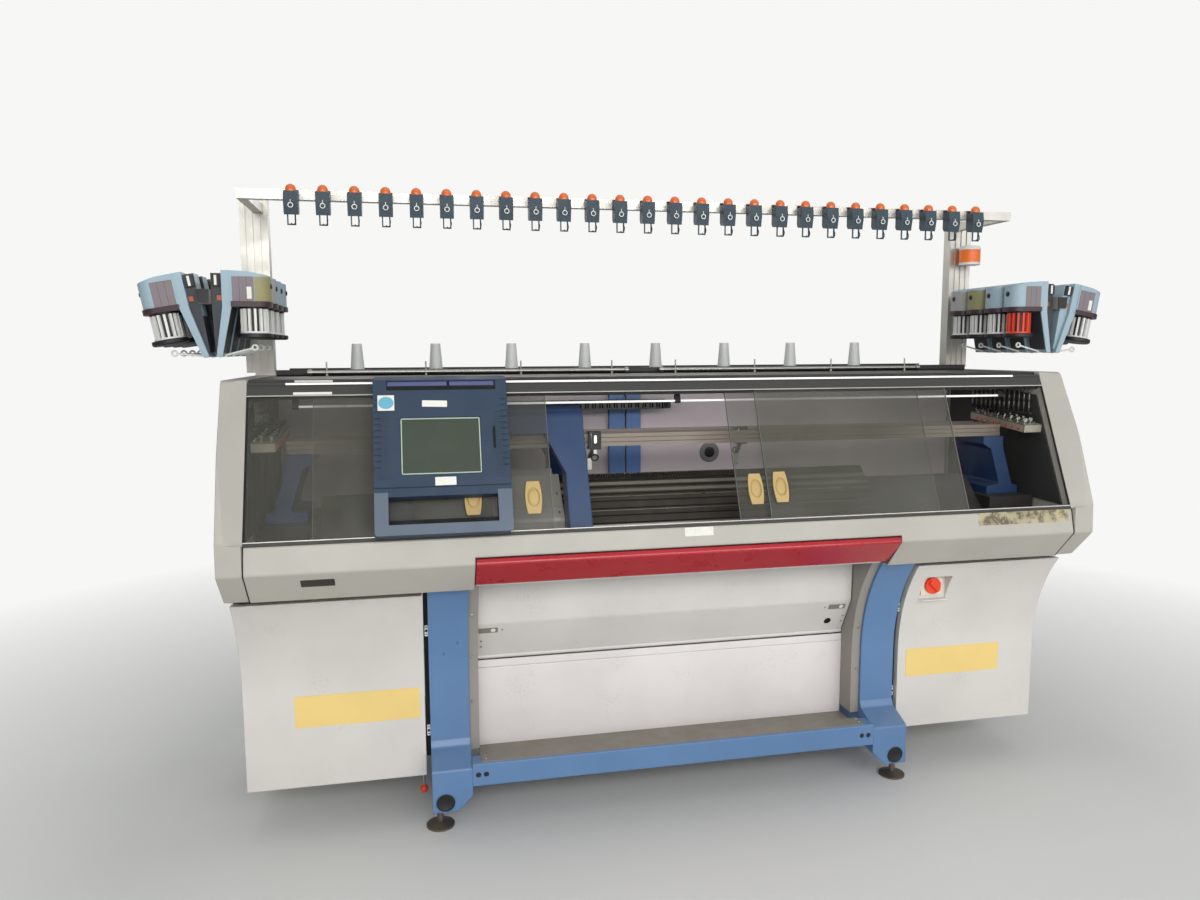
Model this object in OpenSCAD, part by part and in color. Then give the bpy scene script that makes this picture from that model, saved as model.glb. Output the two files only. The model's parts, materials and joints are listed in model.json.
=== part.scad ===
// Flat knitting machine: two needle beds in a V, a carriage that runs along them under sliding
// covers, cabinets at both ends, and the yarn supply on top. Lengths are in millimetres.
// Y values here are measured back from the front face of the blue feet, and Z values up from
// the floor. The whole model is then moved so that the middle of its depth lies at Y = 0.

/* [Machine] */
// Length over the two end covers
machine_l = 2680; // [2500:10:2900]
// Rear face
rear_y = 750; // [740:5:800]
// Length of each end cover along the machine
end_l = 66; // [50:1:80]
// Top of the roof
roof_z = 1384; // [1382:1:1400]

/* [Window] */
// Lean of the sloping window, in degrees from upright
lean = 23; // [21:0.5:24]
// Lower edge of the window, depth
sill_y = -125; // [-130:1:-122]
// Lower edge of the window, height
sill_z = 953; // [948:1:958]
// Clear height of the window along its slope
window_h = 415; // [405:1:416]
// Height of the lower cover rail
sill_rail_h = 12; // [10:1:14]
// Height of the upper cover rail
top_rail_h = 42; // [36:1:43]
// Thickness of a sliding cover
pane_t = 5; // [4:0.5:6]
// Length of a sliding cover
pane_l = 670; // [640:5:690]
// Running gap of a cover in its groove, each side
pane_gap = 0.4; // [0.3:0.1:0.8]
// Wall between the grooves of the cover rails
groove_wall = 8; // [8:1:12]

/* [Frame] */
// Inner face of a leg
leg_x = 670; // [640:5:690]
// Width of a leg
leg_w = 122; // [100:2:125]
// Front face of a straight leg
leg_y = 99; // [90:1:105]
// Radius of the hollow front curve of a leg
leg_r = 520; // [500:5:540]
// Height at which the leg begins to curve forward
leg_bend_z = 430; // [420:5:450]
// Depth of a leg
leg_d = 80; // [60:2:90]
// Top of the legs, where the machine bed sits
frame_z = 774; // [772:1:778]
// Underside of the feet
foot_z = 60; // [50:1:70]
// Top of the foot rail
foot_rail_z = 190; // [170:2:200]
// Rear face of the side frames
frame_back_y = 680; // [660:5:700]
// Depth of the rear column
rear_column_d = 80; // [60:2:100]
// Height of the top rail of a side frame
top_bar_h = 74; // [70:1:78]
// Height of the cross beams
beam_h = 73; // [60:1:80]
// Depth of the cross beams
beam_d = 60; // [50:1:70]
// Top of the front cross beam
beam_z = 208; // [200:1:215]
// Diameter of a levelling foot
foot_d = 86; // [70:1:100]

/* [Cabinets] */
// Gap between a leg and its cabinet
cabinet_gap = 15; // [10:1:20]
// Underside of a cabinet
cabinet_z = 143; // [130:1:160]
// Top of a cabinet, which carries the end cover
cabinet_top_z = 760; // [756:1:764]
// Sheet thickness of a cabinet
cabinet_t = 3; // [2:0.5:4]
// Set-back of a door from the curve of the leg
door_set = 5; // [3:1:8]
// Thickness of a door
door_t = 25; // [22:1:28]
// Gap between a door and its cabinet
door_gap = 12; // [11:0.5:14]
// Gap above a door
door_top_gap = 10; // [8:1:14]
// Diameter of a door hinge pin
hinge_pin_d = 6; // [4:0.5:7]
// Length of a door hinge knuckle
knuckle_l = 60; // [40:2:80]
// Diameter of the main switch knob
switch_d = 56; // [40:1:60]

/* [Apron] */
// Sheet thickness of the covers
sheet_t = 3; // [2:0.5:4]
// Foremost edge of the apron, depth
nose_y = -156; // [-160:1:-152]
// Foremost edge of the apron, height
nose_z = 868; // [862:1:874]
// Half length of the push bar
bar_half_l = 655; // [600:5:665]
// Travel of the push bar
bar_travel = 6; // [3:1:8]
// Diameter of the guide pins of the push bar
bar_pin_d = 8; // [6:0.5:10]

/* [Take-down] */
// Take-down roller diameter
roller_d = 60; // [50:1:62]
// Journal diameter of the take-down roller
journal_d = 24; // [16:1:30]
// Front face of the fabric panel
panel_y = 187; // [180:1:190]
// Height of the flap hinge
flap_hinge_z = 478; // [470:1:486]
// Diameter of the flap hinge rod
flap_rod_d = 8; // [6:0.5:9]

/* [Needle beds and carriage] */
// Middle of the gap between the needle beds
gap_y = 200; // [198:1:202]
// Height at which the planes of the two beds meet
apex_z = 1066; // [1064:1:1070]
// Half length of the needle beds
bed_half_l = 700; // [650:10:800]
// Thickness of a needle bed
bed_t = 20; // [16:1:22]
// Length of a needle bed down its slope
bed_l = 231; // [224:1:233]
// Half width of the slot that the fabric drops through
slot_half = 18; // [14:1:22]
// Half depth of the machine bed
bed_half_d = 160; // [158:1:162]
// Middle of the carriage along the machine
carriage_x = -600; // [-780:10:780]
// Half length of the carriage over its bows
carriage_half_l = 294; // [280:2:296]
// Half length of the cam boxes
cam_half_l = 224; // [180:2:226]
// Top of the carriage hood
hood_z = 1298; // [1294:1:1304]
// Spacing of the yarn feeder rails
feeder_rail_pitch = 50; // [46:1:52]
// Height of a yarn feeder rail
feeder_rail_h = 40; // [34:1:42]
// Underside of the yarn feeder rails
feeder_rail_z = 1162; // [1158:1:1166]
// Number of yarn feeder rails
feeder_rails_n = 4; // [4:1:4]
// Place of the front yarn feeder along its rail
front_feeder_x = -262; // [-270:2:200]
// Place of the rear yarn feeder along its rail
rear_feeder_x = 245; // [-240:5:800]
// Number of springs on each tension plate
springs_n = 13; // [8:1:14]

/* [Terminal] */
// Middle of the terminal along the machine
terminal_x = -739; // [-1070:5:1070]
// Width of the terminal
terminal_w = 378; // [340:2:380]
// Lower end of the terminal, along the slope
terminal_low = -10; // [-11:0.5:-9]
// Back of the terminal, out from the window plane
terminal_back = 18; // [16:0.5:20]
// Thickness of the terminal
terminal_t = 40; // [34:1:44]

/* [Yarn supply] */
// Depth of the bobbin row
bobbin_y = 600; // [590:2:640]
// Spacing of the bobbin row
bobbin_pitch = 269; // [240:1:275]
// Number of bobbin places
bobbins_n = 8; // [6:1:8]
// Top of the uprights
upright_z = 1990; // [1970:5:2050]
// Inner face of the uprights
upright_x = 1280; // [1276:1:1290]
// Width of an upright
upright_w = 90; // [80:1:100]
// Front of the uprights
upright_front_y = 600; // [590:2:615]
// Number of yarn control units
controls_n = 26; // [20:2:28]
// Spacing of the yarn control units
control_pitch = 93; // [80:1:93]
// Drop of the yarn control rail below the tops of the uprights
control_drop = 65; // [60:5:90]
// Front of the yarn control rail
control_y = 300; // [280:5:320]
// Underside of the beacon
beacon_z = 1790; // [1760:5:1800]
// Number of storage feeders in a row
storage_n = 4; // [2:1:4]
// Spacing of the storage feeders
storage_pitch = 104; // [104:1:112]
// Depth of the foremost storage feeder
storage_y = 150; // [140:2:160]
// Outward lean of the outer storage feeders, in degrees
storage_lean = 10; // [6:1:12]

/* [Hidden] */
$fn = 96;

// Colours
cover_grey = [0.78, 0.78, 0.76];
panel_white = [0.86, 0.85, 0.84];
dark_grey = [0.25, 0.26, 0.27];
mid_grey = [0.55, 0.55, 0.54];
frame_blue = [0.35, 0.52, 0.72];
deep_blue = [0.16, 0.32, 0.52];
light_blue = [0.62, 0.76, 0.87];
bright_metal = [0.80, 0.81, 0.82];
signal_red = [0.78, 0.10, 0.14];
signal_orange = [0.92, 0.45, 0.12];
grip_beige = [0.80, 0.68, 0.45];
smoked = [0.45, 0.46, 0.45, 0.5];

// Clearances that several pieces share
shaft_fit = 0.05;
slide_gap = 0.4;
soft_gap = 0.3;

// Places that follow from the sizes above
half_l = machine_l / 2;
inner_half_l = half_l - end_l;
bed_end_x = inner_half_l - 8;
arc_y = leg_y - leg_r;
door_front_r = leg_r - door_set;
door_back_r = door_front_r + door_t;
cabinet_front_r = door_back_r + door_gap;
cabinet_x = leg_x + leg_w + cabinet_gap;
cabinet_end_x = half_l - 2;
cabinet_back_y = rear_y - 5;
door_top_z = cabinet_top_z - door_top_gap;
hinge_x = cabinet_end_x - 5;
hinge_y = arc_y + door_back_r - 5;
knuckle_zs = [185, 345];
groove = pane_t + 2 * pane_gap;
outer_pane_w = -3;
inner_pane_w = outer_pane_w - groove_wall + pane_gap - pane_t - pane_gap - 1;
rail_front_w = outer_pane_w + pane_t + pane_gap + 3.6;
rail_back_w = inner_pane_w - pane_gap - 3.6;
rail_top_v = window_h + top_rail_h;
terminal_front = terminal_back + terminal_t;
terminal_top = rail_top_v + 5.5;
front_y = sill_y + terminal_low * sin(lean) - terminal_front * cos(lean);
mid_y = (front_y + rear_y) / 2;
roof_front_y = sill_y + rail_top_v * sin(lean) - rail_back_w * cos(lean);
roof_under_z = roof_z - sheet_t;
wall_y = 560;
liner_floor_z = 800;
liner_hole = [272, 1080];
upright_y = [upright_front_y, upright_front_y + 45];
control_z = upright_z - control_drop;
chain_y = 436;
roller_y = gap_y + 25;
roller_z = frame_z - roller_d / 2 - 7;
flap_hinge_y = panel_y + 6;
wall_plate_t = 30;
panel_half_l = leg_x - wall_plate_t;
carriage_rail_z = [830, 860];
table_z = 960;
table_x = 1100;
bar_x = upright_x + upright_w;
bar_z = 1600;
bar_w = 30;
bar_h = 40;
storage_axis = 108.5;
board_z = roof_z + 10;
switch_x = cabinet_x + 96;
switch_z = 660;
pocket_y = 62;

// A unit vector, and a vector turned a quarter to the left
function unit(v) = v / norm(v);
function turned(v) = [-v[1], v[0]];

// Points of an arc about c from p to q, the short way round
function arc_points(c, p, q, n) =
    let (a = atan2(p[1] - c[1], p[0] - c[0]),
         b = atan2(q[1] - c[1], q[0] - c[0]),
         sweep = ((b - a + 540) % 360) - 180,
         r = norm([p[0] - c[0], p[1] - c[1]]))
    [for (i = [0 : n]) [c[0] + r * cos(a + sweep * i / n), c[1] + r * sin(a + sweep * i / n)]];

// The corner b between a and c, rounded to radius r
function corner(a, b, c, r, n) =
    let (u = unit(a - b), w = unit(c - b), h = acos(u * w) / 2,
         m = b + unit(u + w) * r / sin(h))
    arc_points(m, b + u * r / tan(h), b + w * r / tan(h), n);

function flat(p) = [p[0], p[1]];
function radius(p) = len(p) > 2 ? p[2] : 0;

// Closed outline of points [y, z, corner radius]
function rounded(pts, n = 4) =
    let (m = len(pts))
    [for (i = [0 : m - 1])
        each radius(pts[i]) > 0
            ? corner(flat(pts[(i + m - 1) % m]), flat(pts[i]), flat(pts[(i + 1) % m]), pts[i][2], n)
            : [flat(pts[i])]];

// Open path of points [y, z, bend radius]
function bent(pts, n = 4) =
    let (m = len(pts))
    [for (i = [0 : m - 1])
        each (radius(pts[i]) > 0 && i > 0 && i < m - 1)
            ? corner(flat(pts[i - 1]), flat(pts[i]), flat(pts[i + 1]), pts[i][2], n)
            : [flat(pts[i])]];

// The path moved sideways by t, to its left when t is positive
function beside(path, t) =
    let (m = len(path))
    [for (i = [0 : m - 1])
        let (d1 = turned(unit(path[max(i, 1)] - path[max(i, 1) - 1])),
             d2 = turned(unit(path[min(i, m - 2) + 1] - path[min(i, m - 2)])))
        path[i] + t * (d1 + d2) / (1 + d1 * d2)];

// Outline of a bent sheet of thickness t along a path
function sheet(path, t) =
    let (other = beside(path, t), m = len(path))
    concat(path, [for (i = [m - 1 : -1 : 0]) other[i]]);

// Point [y, z] at distance v up the window's slope and w out of its plane
function on_window(v, w) =
    [sill_y + v * sin(lean) - w * cos(lean), sill_z + v * cos(lean) + w * sin(lean)];

// Point [y, z] at distance s down the front needle bed and h above its surface
function on_bed(s, h) = [gap_y - (s + h) * sqrt(0.5), apex_z - (s - h) * sqrt(0.5)];

// Everything is drawn in this frame
module placed() translate([0, -mid_y, 0]) children();

// A box between two corners, each given as ranges
module block(x, y, z) translate([x[0], y[0], z[0]]) cube([x[1] - x[0], y[1] - y[0], z[1] - z[0]]);

// Extrudes a [y, z] outline along X, an [x, z] outline along Y
module along_x(x0, x1) translate([x0, 0, 0]) rotate([90, 0, 90]) linear_extrude(x1 - x0) children();
module along_y(y0, y1) translate([0, y1, 0]) rotate([90, 0, 0]) linear_extrude(y1 - y0) children();

// Local frame of the window: x along the machine, y up the slope, z out of the window
module on_slope() translate([0, sill_y, sill_z]) rotate([90 - lean, 0, 0]) children();

// A rod along X, and a rod along Y
module rod_x(x0, x1, y, z, d) translate([x0, y, z]) rotate([0, 90, 0]) cylinder(d = d, h = x1 - x0);
module rod_y(x, y0, y1, z, d) translate([x, y0, z]) rotate([-90, 0, 0]) cylinder(d = d, h = y1 - y0);

// Draws for the right end, or mirrored for the left end
module at_end(side) mirror([side < 0 ? 1 : 0, 0, 0]) children();
module both_ends() for (side = [-1, 1]) at_end(side) children();

// Draws in front of the needle gap and again behind it
module both_beds() {
    children();
    translate([0, 2 * gap_y, 0]) mirror([0, 1, 0]) children();
}

// Band between two radii of the leg curve, straight below the bend
module front_band(r0, r1, z0, z1) {
    intersection() {
        translate([arc_y, leg_bend_z]) difference() {
            circle(r1);
            circle(r0);
        }
        translate([arc_y, leg_bend_z]) square([r1 + 1, z1 - leg_bend_z]);
    }
    translate([arc_y + r0, z0]) square([r1 - r0, leg_bend_z - z0]);
}

// Side frame: front leg, foot rail, rear column and top rail in one weldment
module side_profile() {
    front_band(leg_r, leg_r + leg_d, foot_rail_z, frame_z);
    inner = leg_y + leg_d - 9;
    polygon(rounded([[0, foot_z, 6], [0, foot_rail_z + 5, 10], [leg_y - 12, foot_rail_z + 39, 14],
                     [leg_y, foot_rail_z + 62, 8], [inner, foot_rail_z + 62], [inner, foot_rail_z],
                     [frame_back_y - rear_column_d, foot_rail_z],
                     [frame_back_y - rear_column_d, frame_z - top_bar_h],
                     [60, frame_z - top_bar_h], [60, frame_z],
                     [frame_back_y, frame_z, 6], [frame_back_y, foot_z, 6]]));
}

module side_frame(side) placed() at_end(side) color(frame_blue) difference() {
    along_x(leg_x, leg_x + leg_w) side_profile();
    translate([leg_x, 0, foot_z]) rotate([0, 45, 0])
        block([-34, 34], [-1, frame_back_y + 1], [-34, 34]);
    translate([leg_x + leg_w - 39, -1, foot_z + 32]) rotate([-90, 0, 0]) cylinder(d = 58, h = 9);
    rod_x(leg_x - 1, leg_x + 33, roller_y, roller_z, journal_d + 2 * shaft_fit);
}

module side_frame_left() side_frame(-1);
module side_frame_right() side_frame(1);

// Front and rear cross beams, with the plugged screw holes of the front one
module cross_beams() placed() color(frame_blue) {
    difference() {
        along_x(-leg_x, leg_x) polygon(rounded([[0, beam_z - beam_h, 4], [0, beam_z, 6],
                                               [beam_d, beam_z, 4], [beam_d, beam_z - beam_h, 4]]));
        for (side = [-1, 1], inset = [18, 42])
            rod_y(side * (leg_x - inset), -1, 5, beam_z - 36, 16);
    }
    along_x(-leg_x, leg_x)
        polygon(rounded([[frame_back_y - beam_d, foot_rail_z - beam_h, 4],
                         [frame_back_y - beam_d, foot_rail_z, 4],
                         [frame_back_y, foot_rail_z, 4], [frame_back_y, foot_rail_z - beam_h, 4]]));
}

// Levelling feet: a disc and a threaded stem with its lock nut
module levelling_feet() placed() color(mid_grey)
    for (side = [-1, 1], y = [45, frame_back_y - 45])
        translate([side * (leg_x + leg_w - 23), y, 0]) {
            rotate_extrude() polygon([[0, 0], [foot_d / 2, 0], [foot_d / 2, 6], [16, 14], [10, 16],
                                      [10, foot_z], [0, foot_z]]);
            translate([0, 0, foot_z - 12]) cylinder(d = 34, h = 12, $fn = 6);
        }

// Machine bed: two beams with a slot for the fabric, joined at the ends by raised tables
module machine_bed() placed() color(dark_grey) {
    under = bed_t * sqrt(2) + soft_gap;
    lift = apex_z - gap_y - under;
    both_beds() along_x(-table_x, table_x)
        polygon([[gap_y - bed_half_d, frame_z], [gap_y - slot_half, frame_z],
                 [gap_y - slot_half, lift + gap_y - slot_half],
                 [gap_y - bed_half_d, lift + gap_y - bed_half_d]]);
    both_ends() difference() {
        block([table_x, bed_end_x], [gap_y - bed_half_d, gap_y + bed_half_d], [frame_z, table_z]);
        block([table_x + 30, bed_end_x - 30], [gap_y - 60, gap_y + 60], [table_z - 40, table_z + 1]);
    }
}

// Cabinet at one end: a sheet box that is open at the front, with hinge knuckles and spacers
module cabinet_profile(inset) difference() {
    translate([arc_y + leg_r * 0.6, cabinet_z + inset])
        square([cabinet_back_y - inset - arc_y - leg_r * 0.6, cabinet_top_z - cabinet_z - 2 * inset]);
    translate([arc_y, leg_bend_z]) circle(cabinet_front_r - 2 * inset);
    translate([arc_y, 0]) square([cabinet_front_r - 2 * inset, leg_bend_z]);
}

module cabinet(side) placed() at_end(side) color(cover_grey) {
    difference() {
        along_x(cabinet_x, cabinet_end_x) cabinet_profile(0);
        along_x(cabinet_x + cabinet_t, cabinet_end_x - cabinet_t) cabinet_profile(cabinet_t);
    }
    for (z = [cabinet_z + 5, frame_z - 55])
        block([leg_x + leg_w, cabinet_x], [250, 650], [z, z + 30]);
    for (z = knuckle_zs) {
        translate([hinge_x, hinge_y, z + soft_gap]) cylinder(d = 9, h = knuckle_l - 2 * soft_gap);
        block([hinge_x, cabinet_end_x], [hinge_y, arc_y + cabinet_front_r + 20],
              [z + soft_gap, z + knuckle_l - soft_gap]);
        translate([hinge_x, hinge_y, z - 14]) cylinder(d = hinge_pin_d, h = knuckle_l + 28);
    }
}

module cabinet_left() cabinet(-1);
module cabinet_right() cabinet(1);

// Door: a pan of sheet with a curved skin, a stiff hinge edge and notches for the knuckles
module door(side) at_end(side) difference() {
    union() {
        difference() {
            along_x(cabinet_x, cabinet_end_x)
                front_band(door_front_r, door_back_r, cabinet_z, door_top_z);
            along_x(cabinet_x + 2, cabinet_end_x - 16)
                front_band(door_front_r + 2, door_back_r + 1, cabinet_z + 2, door_top_z - 2);
        }
        children(0);
    }
    for (z = knuckle_zs)
        block([hinge_x - 7, cabinet_end_x + 1], [hinge_y - 14, hinge_y + 10], [z, z + knuckle_l]);
    translate([hinge_x, hinge_y, cabinet_z + 20])
        cylinder(d = hinge_pin_d + 2 * shaft_fit, h = leg_bend_z - cabinet_z - 10);
    children(1);
}

module door_left() placed() color(cover_grey) door(-1) {
    union() {}
    union() {}
}

// The right door carries the main switch in an upright pocket
module door_right() placed() color(cover_grey) {
    door(1) {
        intersection() {
            block([switch_x - 50, switch_x + 58], [0, pocket_y + 4], [switch_z - 54, switch_z + 42]);
            translate([0, arc_y, leg_bend_z]) rotate([0, 90, 0]) difference() {
                cylinder(r = door_back_r + 40, h = half_l);
                cylinder(r = door_front_r + 1, h = half_l);
            }
        }
        block([switch_x - 46, switch_x + 54], [-60, pocket_y], [switch_z - 50, switch_z + 38]);
    }
    difference() {
        along_y(pocket_y - 6, pocket_y)
            polygon(rounded([[switch_x - 40, switch_z - 34, 5], [switch_x + 40, switch_z - 34, 5],
                             [switch_x + 40, switch_z + 36, 5], [switch_x - 40, switch_z + 36, 5]]));
        rod_y(switch_x, pocket_y - 7, pocket_y - 1, switch_z, 10 + 2 * shaft_fit);
    }
}

// Rotary knob of the main switch, with a raised grip across it
module switch_knob() placed() color(signal_red) {
    front = pocket_y - 6 - soft_gap;
    rod_y(switch_x, front, pocket_y - 2, switch_z, 10);
    difference() {
        rod_y(switch_x, front - 12, front, switch_z, switch_d);
        for (turn = [0 : 30 : 330])
            translate([switch_x, 0, switch_z]) rotate([0, turn, 0])
                rod_y(switch_d / 2 + 1.5, front - 13, front - 3, 0, 6);
    }
    translate([switch_x, 0, switch_z]) rotate([0, 45, 0])
        block([-switch_d * 0.4, switch_d * 0.4], [front - 22, front - 12], [-6, 6]);
}

// Apron: side wings with a folded lower flange, and a middle with a channel for the push bar
module front_apron() placed() color(cover_grey) {
    top = [on_window(-sill_rail_h, rail_back_w), concat(on_window(-sill_rail_h, rail_front_w + 3), 6)];
    both_ends() along_x(bar_half_l + 3, inner_half_l)
        polygon(sheet(bent(concat(top, [[nose_y, nose_z, 10], [nose_y + 82, frame_z, 6],
                                       [gap_y - bed_half_d - 2, frame_z]])), sheet_t));
    difference() {
        along_x(-bar_half_l - 3, bar_half_l + 3)
            polygon(sheet(bent(concat(top, [[nose_y + 4, nose_z + 18, 5], [nose_y + 30, nose_z + 16, 5],
                                           [nose_y + 114, nose_z - 62, 5],
                                           [nose_y + 126, nose_z - 62]])), sheet_t));
        for (x = bar_pin_xs())
            rod_y(x, nose_y, nose_y + 110, nose_z - 18, bar_pin_d + 2 * shaft_fit);
    }
}

function bar_pin_xs() = [for (i = [-1.5 : 1 : 1.5]) i * bar_half_l * 0.6];

// Push bar that stops the machine, on guide pins that run through the apron
module stop_bar() placed() color(signal_red) {
    along_x(-bar_half_l, bar_half_l)
        polygon(rounded([[nose_y + 4, nose_z + 14, 2], [nose_y - 4, nose_z, 8],
                         [nose_y + 80, nose_z - 80, 3], [nose_y + 94, nose_z - 72, 3],
                         [nose_y + 19, nose_z + 1, 3], [nose_y + 16, nose_z + 14, 2]]));
    for (x = bar_pin_xs()) rod_y(x, nose_y + 22, nose_y + 96, nose_z - 18, bar_pin_d);
}

// Light metal strip under the push bar
module bar_rail() placed() color(bright_metal)
    along_x(-bar_half_l + 5, bar_half_l - 5)
        polygon(rounded([[nose_y + 112, nose_z - 62], [nose_y + 112, nose_z - 92, 3],
                         [nose_y + 126, nose_z - 92, 3], [nose_y + 126, nose_z - 62]]));

// Tray that catches the fabric behind the front beam
module fabric_tray() placed() color(mid_grey)
    along_x(-panel_half_l, panel_half_l)
        polygon(sheet(bent([[6, beam_z + sheet_t], [beam_d + sheet_t, beam_z + sheet_t, 5],
                            [beam_d + sheet_t, beam_z - 27, 5], [panel_y + 5, beam_z - 27]]), -sheet_t));

// Fabric panel under the slit, the strip above it and the hinge rod of the flap
module takedown_panel() placed() color(panel_white) {
    along_x(-panel_half_l, panel_half_l)
        polygon(sheet(bent([[panel_y + 2, beam_z - 27], [panel_y + 2, flap_hinge_z - 38, 3],
                            [panel_y + 14, flap_hinge_z - 38]]), 2));
    block([-panel_half_l, panel_half_l], [panel_y, panel_y + 2.5],
          [flap_hinge_z - 35, flap_hinge_z - 11]);
    rod_x(-panel_half_l, panel_half_l, flap_hinge_y, flap_hinge_z, flap_rod_d);
}

// Flap over the take-down: an inclined sheet with a rolled hem on the rod and folded ends
module takedown_cover() placed() color(panel_white) {
    half = panel_half_l - 3;
    path = bent([[panel_y - 72, flap_hinge_z + 258], [panel_y - 68, flap_hinge_z + 130, 30],
                 [flap_hinge_y - 5, flap_hinge_z + 3]]);
    difference() {
        union() {
            along_x(-half, half) polygon(sheet(path, 2.5));
            for (x = [-half, half - 2.5])
                along_x(x, x + 2.5) polygon(sheet([for (i = [0 : len(path) - 2]) path[i]], 12));
            rod_x(-half, half, flap_hinge_y, flap_hinge_z, flap_rod_d + 8);
        }
        rod_x(-half - 1, half + 1, flap_hinge_y, flap_hinge_z, flap_rod_d + 2 * shaft_fit);
        rod_y(leg_x - 96, 0, panel_y, flap_hinge_z + 45, 24);
    }
}

// Take-down roller with rubber-covered lands and steel journals
module takedown_roller() placed() color(dark_grey) difference() {
    union() {
        rod_x(-panel_half_l + 8, panel_half_l - 8, roller_y, roller_z, roller_d);
        rod_x(-leg_x - 31, leg_x + 31, roller_y, roller_z, journal_d);
    }
    for (x = [-580 : 145 : 580]) translate([x, roller_y, roller_z]) rotate([0, 90, 0]) difference() {
        cylinder(d = roller_d + 2, h = 12, center = true);
        cylinder(d = roller_d - 10, h = 14, center = true);
    }
}

// Liners on the inner faces of the legs
module inner_side_walls() placed() color(mid_grey)
    both_ends() along_x(panel_half_l, leg_x) difference() {
        translate([arc_y + leg_r * 0.7, beam_z])
            square([panel_y + 5 - arc_y - leg_r * 0.7, frame_z - 2 - beam_z]);
        translate([arc_y, leg_bend_z]) circle(leg_r + 10);
        translate([arc_y, 0]) square([leg_r + 10, leg_bend_z]);
    }

// End cover: a moulding whose sloping front is bevelled towards the window
module end_cover(side) placed() at_end(side) color(cover_grey) difference() {
    along_x(inner_half_l, half_l)
        polygon(rounded([[30, roof_z, 24], [-75, 1180, 500], [nose_y + 2, sill_z + 8, 30],
                         [nose_y - 2, nose_z, 12], [nose_y + 84, cabinet_top_z + 18, 6],
                         [nose_y + 144, cabinet_top_z, 4], [rear_y, cabinet_top_z, 6],
                         [rear_y, roof_z, 16]], 8));
    on_slope() translate([0, -sill_rail_h, 0]) rotate([-90, 0, 0]) mirror([0, 1, 0])
        linear_extrude(rail_top_v + 80)
            polygon([[inner_half_l - 1, rail_front_w], [inner_half_l + 2, rail_front_w],
                     [half_l + 1, 44], [half_l + 1, 300], [inner_half_l - 1, 300]]);
}

module end_cover_left() end_cover(-1);
module end_cover_right() end_cover(1);

// Two-groove extrusion for the sliding covers, open upwards (dir 1) or downwards (dir -1)
module cover_rail(v0, v1, dir) {
    open_v = dir > 0 ? v1 : v0;
    deep_v = open_v - dir * 8.5;
    along_x(-inner_half_l, inner_half_l) difference() {
        polygon([on_window(v0, rail_back_w), on_window(v0, rail_front_w),
                 on_window(v1, rail_front_w), on_window(v1, rail_back_w)]);
        for (w = [outer_pane_w, inner_pane_w])
            polygon([on_window(deep_v, w - pane_gap), on_window(deep_v, w + pane_t + pane_gap),
                     on_window(open_v + dir, w + pane_t + pane_gap), on_window(open_v + dir, w - pane_gap)]);
    }
}

module sill_rail() placed() color(dark_grey) cover_rail(-sill_rail_h, 0, 1);

module top_rail() placed() color(dark_grey) difference() {
    cover_rail(window_h, rail_top_v, -1);
    along_x(-inner_half_l - 1, inner_half_l + 1)
        polygon([on_window(window_h + 14, rail_front_w - 2.4), on_window(window_h + 14, rail_front_w + 1),
                 on_window(rail_top_v - 8, rail_front_w + 1), on_window(rail_top_v - 8, rail_front_w - 2.4)]);
}

// Roof sheet with a folded front edge
module roof() placed() color(dark_grey)
    along_x(-inner_half_l, inner_half_l)
        polygon(sheet(bent([[roof_front_y, roof_z - 32], [roof_front_y, roof_z, 4],
                            [rear_y - sheet_t, roof_z]]), -sheet_t));

// Rear covers: an upper sheet between the end covers and a louvred box between the side frames
module rear_covers() placed() color(cover_grey) {
    difference() {
        block([-inner_half_l, inner_half_l], [rear_y - sheet_t, rear_y], [cabinet_top_z, roof_z]);
        for (x = [-900, -300, 300, 900], z = [0 : 5])
            block([x - 110, x + 110], [rear_y - 10, rear_y + 1], [1180 + 18 * z, 1186 + 18 * z]);
    }
    lower_half = leg_x + leg_w - 2;
    difference() {
        block([-lower_half, lower_half], [frame_back_y, rear_y], [foot_rail_z, cabinet_top_z - 3]);
        block([-lower_half + sheet_t, lower_half - sheet_t], [frame_back_y - 1, rear_y - sheet_t],
              [foot_rail_z + sheet_t, cabinet_top_z - 3 - sheet_t]);
        for (x = [-500, 0, 500], z = [0 : 7])
            block([x - 120, x + 120], [rear_y - 10, rear_y + 1], [560 + 18 * z, 566 + 18 * z]);
    }
}

// Liner behind the needle beds, with a floor that meets the machine bed
module inner_rear_wall() placed() color(cover_grey) difference() {
    along_x(-bed_end_x, bed_end_x)
        polygon(sheet(bent([[gap_y + bed_half_d, liner_floor_z], [wall_y, liner_floor_z, 5],
                            [wall_y, roof_under_z]]), -sheet_t));
    rod_y(liner_hole[0], wall_y - 5, wall_y + 5, liner_hole[1], 40);
}

// Pair of blue posts in front of the rear liner
module rear_posts() placed() color(frame_blue)
    for (x = [-120, -56])
        along_x(x, x + 54) polygon(rounded([[wall_y - 24, liner_floor_z], [wall_y - 24, roof_under_z],
                                            [wall_y, roof_under_z], [wall_y, liner_floor_z, 9]]));

// Sliding cover: a pane that runs in both rails, and its moulded grip
module cover(x0, w, grip_x) placed() {
    color(smoked) on_slope()
        block([x0, x0 + pane_l], [-8, window_h + 8], [w, w + pane_t]);
    color(grip_beige) on_slope() translate([grip_x, 98, w + pane_t]) difference() {
        linear_extrude(5.6) polygon(rounded([[-18, -48, 6], [18, -48, 6], [24, 0, 90], [18, 48, 6],
                                            [-18, 48, 6], [-24, 0, 90]], 5));
        translate([0, 0, 5.6 + 26]) sphere(r = 30);
    }
}

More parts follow.
